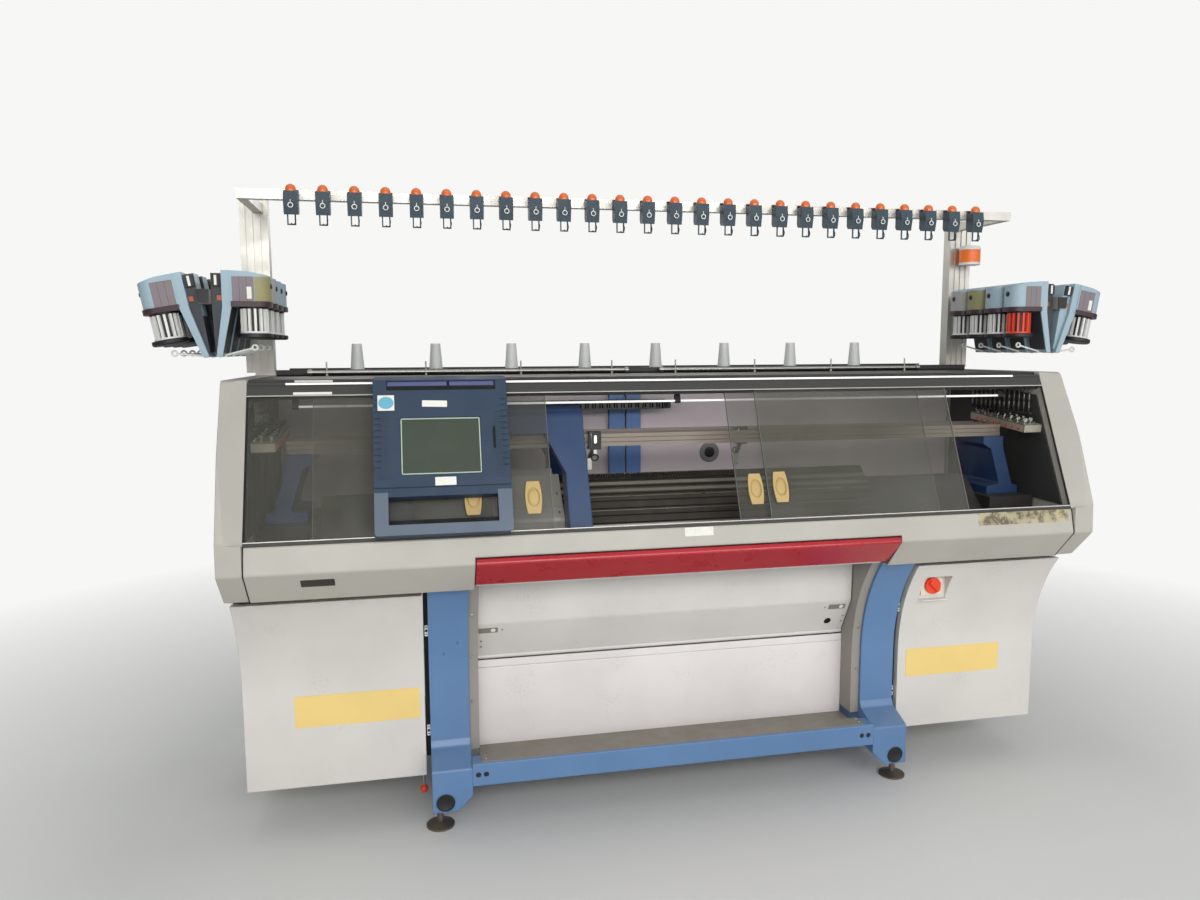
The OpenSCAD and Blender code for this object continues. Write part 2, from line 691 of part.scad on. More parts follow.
module cover_left_end() cover(-inner_half_l + 4, outer_pane_w, -inner_half_l + 4 + pane_l - 57);
module cover_left_mid() cover(-427 - pane_l, inner_pane_w, -427 - 55);
module cover_right_mid() cover(143, inner_pane_w, 143 + 60);
module cover_right_end() cover(237, outer_pane_w, 237 + 42);

// Control terminal: hooked over the upper rail, with a screen recess and a handle frame below
module terminal() placed() color(deep_blue) on_slope() {
    hw = terminal_w / 2;
    difference() {
        translate([terminal_x, 0, terminal_back]) linear_extrude(terminal_t)
            polygon(rounded([[-hw, terminal_low], [hw - 8, terminal_low], [hw, 30, 40],
                             [hw, terminal_top, 12], [-hw, terminal_top, 12]], 4));
        // sloping hood
        translate([terminal_x, 0, 0]) rotate([90, 0, 90]) translate([0, 0, -hw - 1])
            linear_extrude(terminal_w + 2)
                polygon([[terminal_top - 22, terminal_front + 1], [terminal_top + 1, terminal_front + 1],
                         [terminal_top + 1, terminal_back + 12]]);
        // hood recess, screen recess, handle window, parting groove and card slot
        block([terminal_x - hw + 38, terminal_x + hw - 32], [410, 438],
              [terminal_front - 6, terminal_front + 1]);
        block([terminal_x - 115, terminal_x + 109], [160, 327], [terminal_front - 7, terminal_front + 1]);
        block([terminal_x - 151, terminal_x + 149], [20, 98], [terminal_back - 1, terminal_front + 1]);
        block([terminal_x - hw - 1, terminal_x + hw + 1], [122, 125],
              [terminal_front - 3, terminal_front + 1]);
        block([terminal_x + 144, terminal_x + 150], [276, 298], [terminal_front - 4, terminal_front + 1]);
        for (side = [-1, 1], v = [180 : 18 : 378])
            block([terminal_x + side * (hw - 12) - 8, terminal_x + side * (hw - 12) + 8], [v, v + 4],
                  [terminal_front - 2, terminal_front + 1]);
    }
    // hook over the upper rail and pads on the lower rail
    block([terminal_x - 150, terminal_x + 150], [rail_top_v + soft_gap, terminal_top - 1],
          [-8, terminal_back + 1]);
    for (side = [-1, 1])
        block([terminal_x + side * 140 - 20, terminal_x + side * 140 + 20], [-8, -1],
              [rail_front_w + soft_gap, terminal_back + 1]);
}

// Screen of the terminal, in its recess
module terminal_screen() placed() color([0.45, 0.52, 0.48]) on_slope()
    translate([terminal_x - 3, 243.5, terminal_front - 7]) linear_extrude(3)
        polygon(rounded([[-110, -81.5, 4], [110, -81.5, 4], [110, 81.5, 4], [-110, 81.5, 4]]));

// Needle beds: grooved plates that face each other across the gap
module needle_beds() placed() color([0.2, 0.2, 0.2]) both_beds() along_x(-bed_half_l, bed_half_l)
    polygon(concat([on_bed(5 + bed_t, -bed_t), on_bed(5, 0)],
                   [for (s = [28 : 28 : 196], k = [0 : 3])
                       on_bed(s + [0, 2, 8, 10][k], [0, -4, -4, 0][k])],
                   [on_bed(bed_l, 0), on_bed(bed_l, -bed_t)]));

// Guide rails of the carriage on both sides of the machine bed
module carriage_rails() placed() color(bright_metal) both_beds() along_x(-table_x - 80, table_x + 80)
    polygon(rounded([[gap_y - bed_half_d, carriage_rail_z[0]], [gap_y - bed_half_d, carriage_rail_z[1]],
                     [gap_y - bed_half_d - 14, carriage_rail_z[1], 3],
                     [gap_y - bed_half_d - 14, carriage_rail_z[0], 3]]));

// Carriage: cam boxes over both beds, each with an arm down to its guide rail
module carriage() placed() color(cover_grey) {
    rail_face = gap_y - bed_half_d - 14 - slide_gap;
    both_beds() difference() {
        along_x(carriage_x - cam_half_l, carriage_x + cam_half_l)
            polygon(rounded([[rail_face - 20, 822], [rail_face, 822], [rail_face, 870],
                             [rail_face - 6, 876], [rail_face - 6, 905], concat(on_bed(210, 4), 0),
                             concat(on_bed(40, 4), 0), concat(on_bed(40, 60), 8),
                             concat(on_bed(210, 60), 8), [rail_face - 20, 950, 4]], 3));
        for (x = [-150 : 100 : 150])
            translate([carriage_x + x, gap_y - 125 * sqrt(0.5) - 60 * sqrt(0.5),
                       apex_z - 125 * sqrt(0.5) + 60 * sqrt(0.5)])
                rotate([45, 0, 0]) cylinder(d = 26, h = 6, center = true);
    }
}

// Hood and bows: the bridge of the carriage over the yarn feeder rails
module bow_profile() difference() {
    polygon(rounded([concat(on_window(-50, -40), 6), concat(on_window(372, -40), 40), [110, hood_z, 20],
                     [335, hood_z, 40], [405, 1235, 20], [422, 908, 6]], 5));
    polygon(rounded([[14, 880], [16, 1000, 40], [80, 1160, 40], [85, hood_z - 40, 14],
                     [335, hood_z - 40, 14], [345, 1150, 40], [388, 960, 20], [388, 880]], 4));
}

module carriage_hood() placed() color(deep_blue) {
    bow_w = 112;
    intersection() {
        along_x(carriage_x - carriage_half_l + 6, carriage_x + carriage_half_l - 6) bow_profile();
        block([-half_l, half_l], [-200, 600], [1215, hood_z + 1]);
    }
    for (side = [-1, 1]) translate([carriage_x, 0, 0]) intersection() {
        at_end(side) along_x(carriage_half_l - 6 - bow_w, carriage_half_l) bow_profile();
        at_end(side) along_y(-300, 600)
            polygon([[carriage_half_l - 6 - bow_w, hood_z + 1], [carriage_half_l - 6, hood_z + 1],
                     [carriage_half_l, 880], [cam_half_l, 880], [cam_half_l, 1100],
                     [carriage_half_l - 6 - bow_w, 1195]]);
    }
}

function feeder_rail_y(i) = gap_y + (i - (feeder_rails_n - 1) / 2) * feeder_rail_pitch;

// Yarn feeder rails: grooved bars above the needle gap
module feeder_rails() placed() color(bright_metal)
    for (i = [0 : feeder_rails_n - 1]) along_x(-table_x - 85, table_x + 85) feeder_rail_profile(i, 0);

module feeder_rail_profile(i, grow) translate([feeder_rail_y(i), feeder_rail_z]) polygon([
    [-7 - grow, -grow], [7 + grow, -grow], [7 + grow, 12], [5 + grow, 14], [5 + grow, feeder_rail_h - 14],
    [7 + grow, feeder_rail_h - 12], [7 + grow, feeder_rail_h + grow], [-7 - grow, feeder_rail_h + grow],
    [-7 - grow, feeder_rail_h - 12], [-5 - grow, feeder_rail_h - 14], [-5 - grow, 14], [-7 - grow, 12]]);

// Blue brackets that carry the ends of the yarn feeder rails on the bed tables
module rail_brackets() placed() color(deep_blue) both_ends()
    along_y(gap_y - 100, gap_y + 100)
        polygon(rounded([[table_x + 30, table_z], [table_x + 150, table_z], [table_x + 150, table_z + 28, 4],
                         [table_x + 128, table_z + 32, 8], [table_x + 86, feeder_rail_z - 34, 10],
                         [table_x + 86, feeder_rail_z], [table_x + 10, feeder_rail_z],
                         [table_x + 10, feeder_rail_z - 26, 4], [table_x + 40, feeder_rail_z - 44, 10],
                         [table_x + 78, table_z + 34, 8], [table_x + 30, table_z + 28, 4]], 4));

// Yarn feeder: a block around its rail and an arm down to the needle gap
module yarn_feeder(i, x, tip_y) placed() color(bright_metal) {
    y = feeder_rail_y(i);
    low = feeder_rail_z - 8;
    difference() {
        along_x(x - 20, x + 20)
            polygon(rounded([[y - 14, low, 3], [y + 14, low, 3],
                             [y + 14, feeder_rail_z + feeder_rail_h + 8, 3],
                             [y - 14, feeder_rail_z + feeder_rail_h + 8, 3]]));
        along_x(x - 21, x + 21) feeder_rail_profile(i, slide_gap);
    }
    along_x(x - 7, x + 7)
        polygon([[y - 6, low], [y + 6, low], [tip_y + 3, apex_z + 50], [tip_y + 2, apex_z + 12],
                 [tip_y - 2, apex_z + 12], [tip_y - 3, apex_z + 50]]);
}

module yarn_feeder_front() yarn_feeder(0, front_feeder_x, gap_y - 5);
module yarn_feeder_rear() yarn_feeder(1, rear_feeder_x, gap_y + 4);

// Plates with vertical tension springs and a bench for the knobs, inside both end covers
module knob_bench() translate([inner_half_l - 6, 16, 1180]) rotate([5, 0, 0]) children();

module tension_plates() placed() color(dark_grey) both_ends() {
    plate_x = inner_half_l - 6;
    along_x(plate_x, inner_half_l)
        polygon([on_window(10, rail_back_w - 6), on_window(window_h - 20, rail_back_w - 6),
                 [wall_y - 20, roof_z - 34], [wall_y - 20, table_z + 4]]);
    for (z = [1238, 1326]) block([plate_x - 12, plate_x], [66, 398], [z, z + 8]);
    for (i = [0 : springs_n - 1])
        translate([plate_x - 7, 76 + i * 312 / (springs_n - 1), 1246]) cylinder(d = 5, h = 80);
    knob_bench() block([-68, 0], [0, 296], [0, 28]);
}

// Bright tension knobs in two rows on the benches
module tension_knobs() placed() color(bright_metal) both_ends()
    knob_bench() for (row = [0, 1], i = [0 : 7])
        translate([-56 + row * 30, 16 + i * 36 + row * 12, 28]) rotate_extrude()
            polygon([[0, 0], [4, 0], [4, 5], [10, 8], [11, 14], [8, 20], [3, 22], [0, 22]]);

// Drag chain of the carriage: two runs of links joined by a half circle
module cable_chain() placed() color([0.06, 0.06, 0.06]) {
    link = 26;
    bend_r = 34;
    bend_x = 50;
    bend_y = chain_y + bend_r + 9;
    for (i = [0 : 12]) chain_link(bend_x - (i + 0.5) * link, chain_y + 9, 0);
    for (i = [0 : 18]) chain_link(bend_x - (i + 0.5) * link, bend_y + bend_r, 0);
    for (i = [0 : 3]) {
        a = -90 + (i + 0.5) * 45;
        chain_link(bend_x + bend_r * cos(a), bend_y + bend_r * sin(a), a + 90);
    }
    block([bend_x - 19 * link - 20, bend_x - 19 * link], [bend_y + bend_r - 6, wall_y], [1262, 1280]);
}

module chain_link(x, y, a) translate([x, y, 1256]) rotate([0, 0, a]) {
    difference() {
        translate([-13, -9, 0]) cube([26, 18, 30]);
        translate([-7, -10, 5]) cube([14, 20, 20]);
    }
    translate([-2, -9, 5]) cube([4, 18, 20]);
}

// Tray for the yarn packages behind the roof
module bobbin_board() placed() color(mid_grey) difference() {
    along_x(-half_l + 90, half_l - 90)
        polygon(sheet(bent([[430, roof_z + 20], [430, roof_z, 6], [rear_y - 5, roof_z, 6],
                            [rear_y - 5, roof_z + 20]]), sheet_t));
    for (x = [-1100 : 200 : 1100]) translate([x, 500, roof_z - 1]) cylinder(d = 22, h = 6);
}

function bobbin_x(i) = -1005 + i * bobbin_pitch;

// Dark discs and clear cone holders of the bobbin row
module bobbin_discs() placed() color([0.12, 0.12, 0.12])
    for (i = [0 : bobbins_n - 1]) translate([bobbin_x(i), bobbin_y, roof_z + sheet_t]) rotate_extrude()
        polygon([[0, 0], [12, 0], [12, 6], [65, 10], [65, 13], [0, 13]]);

module bobbin_cones() placed() color([0.85, 0.87, 0.87])
    for (i = [0 : bobbins_n - 1])
        translate([bobbin_x(i), bobbin_y, roof_z + sheet_t + 13]) rotate_extrude()
            polygon([[0, 0], [24, 0], [17, 90], [0, 90], [0, 87], [14.4, 87], [21, 3], [0, 3]]);

// Yarn guard tubes on posts, with upright guide pins
module guard_tubes() placed() color(bright_metal)
    for (span = [[-1150, -80], [30, 1040]]) {
        tube_z = roof_z + 12;
        rod_x(span[0], span[1], 405, tube_z, 12);
        for (i = [0 : 3]) {
            x = span[0] + 60 + i * (span[1] - span[0] - 120) / 3;
            translate([x, 405, tube_z]) cylinder(d = 5, h = 34);
            translate([x, 405, roof_z]) cylinder(d = 10, h = 12);
        }
        for (x = [span[0] + 8, span[1] - 8])
            translate([x, 405, tube_z]) rotate([0, 90, 0]) cylinder(d = 20, h = 12, center = true);
    }

// Grooved uprights on foot plates
module uprights() placed() color(bright_metal) both_ends() {
    difference() {
        block([upright_x, upright_x + upright_w], upright_y, [roof_z + 8, upright_z]);
        for (i = [0 : 2], y = [upright_y[0] - 1, upright_y[1] - 4])
            block([upright_x + 14 + i * 24, upright_x + 24 + i * 24], [y, y + 5],
                  [roof_z + 7, upright_z + 1]);
    }
    block([upright_x - 4, half_l], upright_y + [-15, 15], [roof_z, roof_z + 8]);
    block([upright_x - 2, upright_x + upright_w + 2], upright_y + [-2, 2], [upright_z, upright_z + 6]);
}

// Rail of the yarn control units, on arms from the uprights
module control_rail() placed() color(bright_metal) {
    block([-upright_x - 40, upright_x + 40], [control_y, control_y + 30], [control_z, control_z + 30]);
    both_ends()
        block([upright_x + 14, upright_x + 44], [control_y, upright_y[0]], [control_z, control_z + 30]);
}

function control_x(i) = (i - (controls_n - 1) / 2) * control_pitch;

// Yarn control units: a housing on the rail and a wire guide below it
module yarn_controls() placed() color([0.10, 0.20, 0.26])
    for (i = [0 : controls_n - 1]) translate([control_x(i), control_y, control_z]) {
        along_x(-21, 21)
            polygon([[0, 28], [0, -36], [-8, -46], [-34, -50], [-42, -12], [-38, 20], [-2, 20], [-2, 28]]);
        for (x = [-13, 9]) block([x, x + 4], [-28, -24], [-76, -48]);
        block([-13, 13], [-28, -24], [-80, -76]);
    }

// Orange fault lamps of the yarn control units
module control_lamps() placed() color(signal_orange)
    for (i = [0 : controls_n - 1]) translate([control_x(i), control_y - 20, control_z + 20]) rotate_extrude()
        polygon(concat([[0, 0], [16, 0]], [for (a = [0 : 18 : 90]) [16 * cos(a), 7 + 16 * sin(a)]]));

// Signal beacon on the right upright
module beacon() placed() color(signal_orange) translate([upright_x + 55, upright_y[0] - 47, beacon_z]) {
    rotate_extrude() polygon([[0, 0], [36, 0], [39, 8], [39, 62], [34, 72], [0, 74]]);
    block([-12, 12], [30, 47], [10, 60]);
}

// Bars of the storage feeders, on the outer sides of the uprights
module feeder_bars() placed() color(bright_metal) both_ends()
    along_y(storage_y - 55, upright_y[1]) polygon([[bar_x, bar_z], [bar_x + bar_w, bar_z],
                              [bar_x + bar_w + bar_h * tan(storage_lean), bar_z + bar_h],
                              [bar_x, bar_z + bar_h]]);

// Frame of a storage feeder: x away from the bar, z up, origin at the lower edge of its seat
module inner_feeder(k) translate([bar_x, storage_y + k * storage_pitch, bar_z]) mirror([1, 0, 0]) children();
module outer_feeder(k)
    translate([bar_x + bar_w, storage_y + k * storage_pitch, bar_z]) rotate([0, storage_lean, 0]) children();
module every_feeder() both_ends() for (k = [0 : storage_n - 1]) {
    inner_feeder(k) children();
    outer_feeder(k) children();
}

// Housing of a storage feeder, with the dark rim above the wheel
module feeder_housings() placed() color(light_blue) every_feeder()
    difference() {
        union() {
            linear_extrude(78) feeder_outline(0);
            translate([0, 0, -8]) linear_extrude(8.5) feeder_outline(3);
            intersection() {
                translate([0, 0, 77]) linear_extrude(30) feeder_outline(0);
                along_y(-60, 60) polygon(rounded([[50, 77], [50, 94], [104, 91, 90], [158, 80, 2], [158, 77]]));
            }
        }
        translate([storage_axis, 0, -9]) cylinder(d = 10 + 2 * shaft_fit, h = 30);
    }

// Plan of a storage feeder's housing: flat on the bar side, rounded on the other
module feeder_outline(grow)
    polygon(rounded([[54, -44 - grow], [storage_axis + 48 + grow, -44 - grow, 38],
                     [storage_axis + 48 + grow, 44 + grow, 38], [54, 44 + grow]], 8));

// Plate that holds a storage feeder on its bar, with the outlet arm at its lower end
module feeder_guides() placed() color(light_blue) every_feeder() {
    along_y(-42, 42) polygon([[30, 94], [30, -10], [8, -150], [24, -150], [54, -10], [54, 94]]);
    along_y(-30, 30) polygon([[0, 86], [0, -10], [5, -138], [16, -138], [40, -10], [40, 86]]);
    translate([20, 0, -147]) rotate([0, 75, 0]) cylinder(d = 5, h = 84);
    translate([106, 2, -124]) rotate([90, 0, 0]) difference() {
        cylinder(d = 18, h = 4);
        translate([0, 0, -1]) cylinder(d = 11, h = 6);
    }
}

// Ribbed wheel of a storage feeder, with its lower disc and spindle
module feeder_wheel() translate([storage_axis, 0, 0]) {
    translate([0, 0, -10]) cylinder(d = 10, h = 26);
    translate([0, 0, -83]) cylinder(r = 28, h = 83 - 8 - soft_gap);
    translate([0, 0, -14]) cylinder(r = 39, h = 6 - soft_gap);
    translate([0, 0, -92]) cylinder(r = 49, h = 8);
    for (a = [0 : 30 : 330]) rotate([0, 0, a]) translate([26, -4, -86]) cube([12, 8, 76]);
}

module feeder_wheels() placed() color([0.9, 0.9, 0.88]) both_ends() for (k = [0 : storage_n - 1]) {
    if (k > 0) inner_feeder(k) feeder_wheel();
    outer_feeder(k) feeder_wheel();
}

module feeder_wheel_left() placed() color([0.9, 0.9, 0.88]) at_end(-1) inner_feeder(0) feeder_wheel();
module feeder_wheel_right() placed() color([0.9, 0.9, 0.88]) at_end(1) inner_feeder(0) feeder_wheel();

// Control electronics in the left cabinet
module electronics_rack() placed() color(mid_grey) {
    x0 = -cabinet_end_x + 30;
    x1 = -cabinet_x - 30;
    back = cabinet_back_y - cabinet_t;
    block([x0, x1], [back - 4, back], [200, 720]);
    for (i = [0 : 4]) difference() {
        block([x0 + 12 + i * 90, x0 + 92 + i * 90], [back - 184, back - 4], [440, 690]);
        for (z = [460 : 22 : 660])
            block([x0 + 22 + i * 90, x0 + 82 + i * 90], [back - 185, back - 176], [z, z + 8]);
    }
    block([x0 + 12, x0 + 200], [back - 220, back - 4], [225, 400]);
    block([x0 + 230, x1 - 20], [back - 150, back - 4], [240, 390]);
}

// Suction unit in the right cabinet: a fan drum, its duct and a lint box
module suction_unit() placed() color(mid_grey) {
    floor_z = cabinet_z + cabinet_t;
    block([cabinet_x + 40, cabinet_x + 300], [300, 680], [floor_z, floor_z + 180]);
    translate([cabinet_x + 170, 490, floor_z + 180]) cylinder(d = 220, h = 120);
    translate([cabinet_x + 170, 490, floor_z + 300]) cylinder(d = 90, h = 140);
    block([cabinet_x + 330, cabinet_end_x - 40], [330, 690], [floor_z, floor_z + 320]);
}

side_frame_left();
side_frame_right();
cross_beams();
levelling_feet();
machine_bed();
cabinet_left();
cabinet_right();
electronics_rack();
suction_unit();
door_left();
door_right();
switch_knob();
front_apron();
stop_bar();
bar_rail();
fabric_tray();
takedown_panel();
takedown_cover();
takedown_roller();
inner_side_walls();
end_cover_left();
end_cover_right();
sill_rail();
top_rail();
roof();
rear_covers();
inner_rear_wall();
rear_posts();
cover_left_end();
cover_left_mid();
cover_right_mid();
cover_right_end();
terminal();
terminal_screen();
needle_beds();
carriage_rails();
carriage();
carriage_hood();
feeder_rails();
rail_brackets();
yarn_feeder_front();
yarn_feeder_rear();
tension_plates();
tension_knobs();
cable_chain();
bobbin_board();
bobbin_discs();
bobbin_cones();
guard_tubes();
uprights();
control_rail();
yarn_controls();
control_lamps();
beacon();
feeder_bars();
feeder_housings();
feeder_guides();
feeder_wheels();
feeder_wheel_left();
feeder_wheel_right();
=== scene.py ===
"""Dresses the flat knitting machine: camera, light, finishes and the fine pieces.

All sizes in this file are millimetres in the machine's own measuring frame, with X along the
machine, Y back from the front of the feet and Z up from the floor. Shapes are turned into
metres of the shared frame when they are finished.
"""
from __future__ import annotations

import json
import logging
import math
from dataclasses import dataclass, field
from enum import Enum
from typing import Sequence

import bmesh
import bpy
from mathutils import Matrix, Vector

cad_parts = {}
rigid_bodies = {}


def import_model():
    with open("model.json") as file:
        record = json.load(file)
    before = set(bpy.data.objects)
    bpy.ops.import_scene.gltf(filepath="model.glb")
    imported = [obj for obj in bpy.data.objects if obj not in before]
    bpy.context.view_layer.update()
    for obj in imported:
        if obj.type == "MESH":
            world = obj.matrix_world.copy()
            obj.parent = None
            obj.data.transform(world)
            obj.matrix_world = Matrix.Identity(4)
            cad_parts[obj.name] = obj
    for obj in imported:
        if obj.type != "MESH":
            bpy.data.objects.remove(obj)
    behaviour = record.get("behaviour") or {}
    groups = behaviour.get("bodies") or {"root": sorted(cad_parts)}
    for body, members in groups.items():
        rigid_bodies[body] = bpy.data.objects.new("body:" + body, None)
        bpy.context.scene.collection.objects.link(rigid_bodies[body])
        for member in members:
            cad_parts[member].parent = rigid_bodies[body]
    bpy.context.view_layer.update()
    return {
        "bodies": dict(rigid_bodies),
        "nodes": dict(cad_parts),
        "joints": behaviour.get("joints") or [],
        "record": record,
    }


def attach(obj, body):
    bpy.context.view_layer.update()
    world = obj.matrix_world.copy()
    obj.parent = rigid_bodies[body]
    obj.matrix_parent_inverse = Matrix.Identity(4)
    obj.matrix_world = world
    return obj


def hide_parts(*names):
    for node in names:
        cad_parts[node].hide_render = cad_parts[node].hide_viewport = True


LOG = logging.getLogger("knitting_machine")

Socket = bpy.types.NodeSocket
Pair = tuple[float, float]
Triple = tuple[float, float, float]

MID_Y = 283.8517
LEAN = math.radians(23.0)
SILL_Y = -125.0
SILL_Z = 953.0
MM = 0.001
ROOT = "machine"
BACKDROP = (0.93, 0.93, 0.92, 1.0)
SHARP_DEGREES = 35.0


class Texture(Enum):
    """The kinds of surface that the finishes choose from."""

    PAINT = "paint"
    MOULDED = "moulded"
    BRUSHED = "brushed"
    CAST = "cast"
    SMOKED = "smoked"
    POLISHED = "polished"
    PRINTED = "printed"


def srgb(red: int, green: int, blue: int) -> Triple:
    """Linear colour of an 8-bit screen colour."""
    return tuple(
        c / 12.92 if c <= 0.04045 else ((c + 0.055) / 1.055) ** 2.4
        for c in (red / 255, green / 255, blue / 255)
    )


@dataclass(frozen=True)
class Finish:
    """One finish of the machine.

    blotch is how far the colour wanders, soil how much grime gathers, and dust how much lies on
    faces that look up. grain is the bump depth in metres and pitch its size in metres.
    """

    name: str
    colour: Triple
    texture: Texture = Texture.PAINT
    rough: float = 0.45
    metal: float = 0.0
    blotch: float = 0.08
    soil: float = 0.15
    dust: float = 0.15
    grain: float = 0.00004
    pitch: float = 0.0015
    alpha: float = 1.0
    coat: float = 0.0
    glow: float = 0.0
    round_edges: float = 0.0


COVER = Finish("cover paint", srgb(181, 177, 168), rough=0.42, coat=0.15, round_edges=0.004)
DOOR = Finish("door paint", srgb(214, 210, 205), rough=0.4, coat=0.15, soil=0.3, round_edges=0.003)
PANEL = Finish("panel paint", srgb(230, 224, 223), rough=0.45, soil=0.3, round_edges=0.002)
# The flap's finish is the panel paint made darker: painted shade for the flap, whose lower half
# faces downwards.
FLAP = Finish("flap paint with painted shade", srgb(214, 210, 206), rough=0.45, soil=0.3, round_edges=0.002)
LEDGE = Finish("ledge paint", srgb(132, 127, 118), rough=0.5, soil=0.4, dust=0.3)
LINER = Finish("liner paint", srgb(150, 145, 138), rough=0.5, soil=0.3)
BLUE = Finish("frame blue", srgb(92, 128, 172), rough=0.36, coat=0.2, soil=0.3, round_edges=0.004)
SLATE = Finish("terminal blue", srgb(31, 54, 78), Texture.MOULDED, rough=0.55, round_edges=0.002)
GRIP_BLUE = Finish("handle blue", srgb(92, 104, 120), Texture.MOULDED, rough=0.5)
HOOD = Finish("hood blue", srgb(34, 62, 102), rough=0.38, coat=0.15, round_edges=0.006)
DARK = Finish("rail dark", srgb(56, 56, 54), rough=0.5, dust=0.3)
ROOF = Finish("roof grey", srgb(46, 44, 40), rough=0.5, dust=0.3)
WALL = Finish("inner wall", srgb(206, 194, 198), rough=0.6)
POST = Finish("post blue", srgb(86, 122, 178), rough=0.45)
IRON = Finish("bed iron", srgb(58, 56, 54), Texture.CAST, rough=0.55, metal=0.4, grain=0.0002,
              pitch=0.004)
NEEDLE = Finish("needle bed", srgb(74, 70, 64), Texture.BRUSHED, rough=0.42, metal=0.7, dust=0.25)
RAIL = Finish("feeder rail", srgb(140, 130, 120), Texture.BRUSHED, rough=0.42, metal=0.55, dust=0.2)
BENCH = Finish("bench plate", srgb(178, 172, 156), Texture.BRUSHED, rough=0.45, metal=0.3, dust=0.2)
STEEL = Finish("bright steel", srgb(176, 174, 168), Texture.BRUSHED, rough=0.3, metal=1.0, dust=0.1)
ALU = Finish("anodised rail", srgb(208, 204, 196), Texture.BRUSHED, rough=0.38, metal=0.75,
             dust=0.2)
FOOT = Finish("foot steel", srgb(120, 110, 100), Texture.BRUSHED, rough=0.5, metal=0.8, soil=0.5)
CHROME = Finish("knob chrome", srgb(205, 203, 198), Texture.POLISHED, rough=0.12, metal=1.0,
                dust=0.05)
RUBBER = Finish("rubber", srgb(34, 34, 35), Texture.MOULDED, rough=0.75, dust=0.3, grain=0.0001)
BLACK = Finish("black plastic", srgb(22, 22, 24), Texture.MOULDED, rough=0.45, dust=0.2)
# Near-black for real slots, joints and the lock hole, and for strips of painted shade in the gaps
# by the doors and end covers.
GASKET_AND_GAP_SHADE = Finish("gasket", srgb(12, 12, 12), Texture.MOULDED, rough=0.8, dust=0.1)
RED = Finish("push bar red", srgb(176, 14, 34), Texture.PRINTED, rough=0.28, coat=0.4, soil=0.2,
             round_edges=0.002)
STRIP = Finish("push bar strip", srgb(222, 220, 214), Texture.BRUSHED, rough=0.4, metal=0.2)
SWITCH_RED = Finish("switch red", srgb(235, 66, 34), Texture.MOULDED, rough=0.35)
CREAM = Finish("switch plate", srgb(228, 222, 200), Texture.MOULDED, rough=0.4)
GLASS = Finish("smoked sheet", srgb(92, 91, 82), Texture.SMOKED, rough=0.18, grain=0.0, alpha=0.28)
EDGE = Finish("sheet edge", srgb(120, 122, 112), Texture.MOULDED, rough=0.2)
GRIP = Finish("grip beige", srgb(196, 168, 108), Texture.MOULDED, rough=0.5, soil=0.3,
              grain=0.00006)
SCREEN = Finish("screen", srgb(68, 76, 66), Texture.POLISHED, rough=0.14, blotch=0.03)
BEZEL = Finish("screen rim", srgb(176, 192, 176), Texture.MOULDED, rough=0.4)
YELLOW = Finish("plate yellow", srgb(238, 208, 130), Texture.PRINTED, rough=0.4, blotch=0.06)
LABEL = Finish("bare label", srgb(232, 230, 222), Texture.PRINTED, rough=0.5, soil=0.3)
LABEL_BLUE = Finish("bare blue label", srgb(108, 176, 202), Texture.PRINTED, rough=0.4)
CLOUDY = Finish("cone plastic", srgb(214, 216, 212), Texture.SMOKED, rough=0.35, alpha=0.72)
SKY = Finish("feeder blue", srgb(156, 178, 190), Texture.MOULDED, rough=0.42)
FACE = Finish("feeder face", srgb(130, 120, 124), Texture.MOULDED, rough=0.5)
OLIVE = Finish("feeder olive", srgb(150, 146, 104), Texture.MOULDED, rough=0.5)
MAROON = Finish("feeder rim", srgb(58, 34, 44), Texture.MOULDED, rough=0.35)
WHITE = Finish("feeder white", srgb(228, 228, 224), Texture.MOULDED, rough=0.35, soil=0.2)
ORANGE = Finish("signal orange", srgb(232, 112, 36), Texture.MOULDED, rough=0.3, glow=0.15)
MARK = Finish("mark orange", srgb(188, 84, 34), Texture.MOULDED, rough=0.4, soil=0.3)
LAMP = Finish("lamp orange", srgb(214, 104, 44), Texture.MOULDED, rough=0.25, glow=0.1)
TEAL = Finish("control body", srgb(48, 66, 78), Texture.MOULDED, rough=0.45, dust=0.3)
WORN = Finish("worn strip", srgb(206, 196, 160), Texture.PRINTED, rough=0.6, blotch=0.5, soil=1.0)
# Glows: the light tube is a lamp, and the same glow on the top rail's strip is a painted highlight.
GLOW_OF_TUBE_AND_HIGHLIGHT = Finish("light tube", srgb(240, 240, 236), Texture.POLISHED, rough=0.2, glow=0.4)
INSIDE = Finish("inner grey", srgb(120, 120, 118), rough=0.55, dust=0.3)
SLATE_DARK = Finish("terminal rib", srgb(28, 44, 60), Texture.MOULDED, rough=0.55)
HOOD_STRIP = Finish("hood strip", srgb(92, 96, 140), Texture.MOULDED, rough=0.3)
BODY_GREY = Finish("feeder grey", srgb(168, 166, 166), Texture.MOULDED, rough=0.45)
# A dark copy of the feeder blue, painted as shade on the holders' cores.
CORE_PAINTED_SHADE = Finish("feeder core painted shade", srgb(52, 56, 62), Texture.MOULDED, rough=0.5)
DRUM_RED = Finish("drum red", srgb(220, 68, 44), Texture.MOULDED, rough=0.35)
BOX_DARK = Finish("feeder block", srgb(50, 48, 48), Texture.CAST, rough=0.45, metal=0.3)
BED_STRIP = Finish("bed strip", srgb(126, 124, 112), Texture.BRUSHED, rough=0.4, metal=0.6)
GREEN_BIT = Finish("green bit", srgb(60, 110, 70), Texture.MOULDED, rough=0.4)

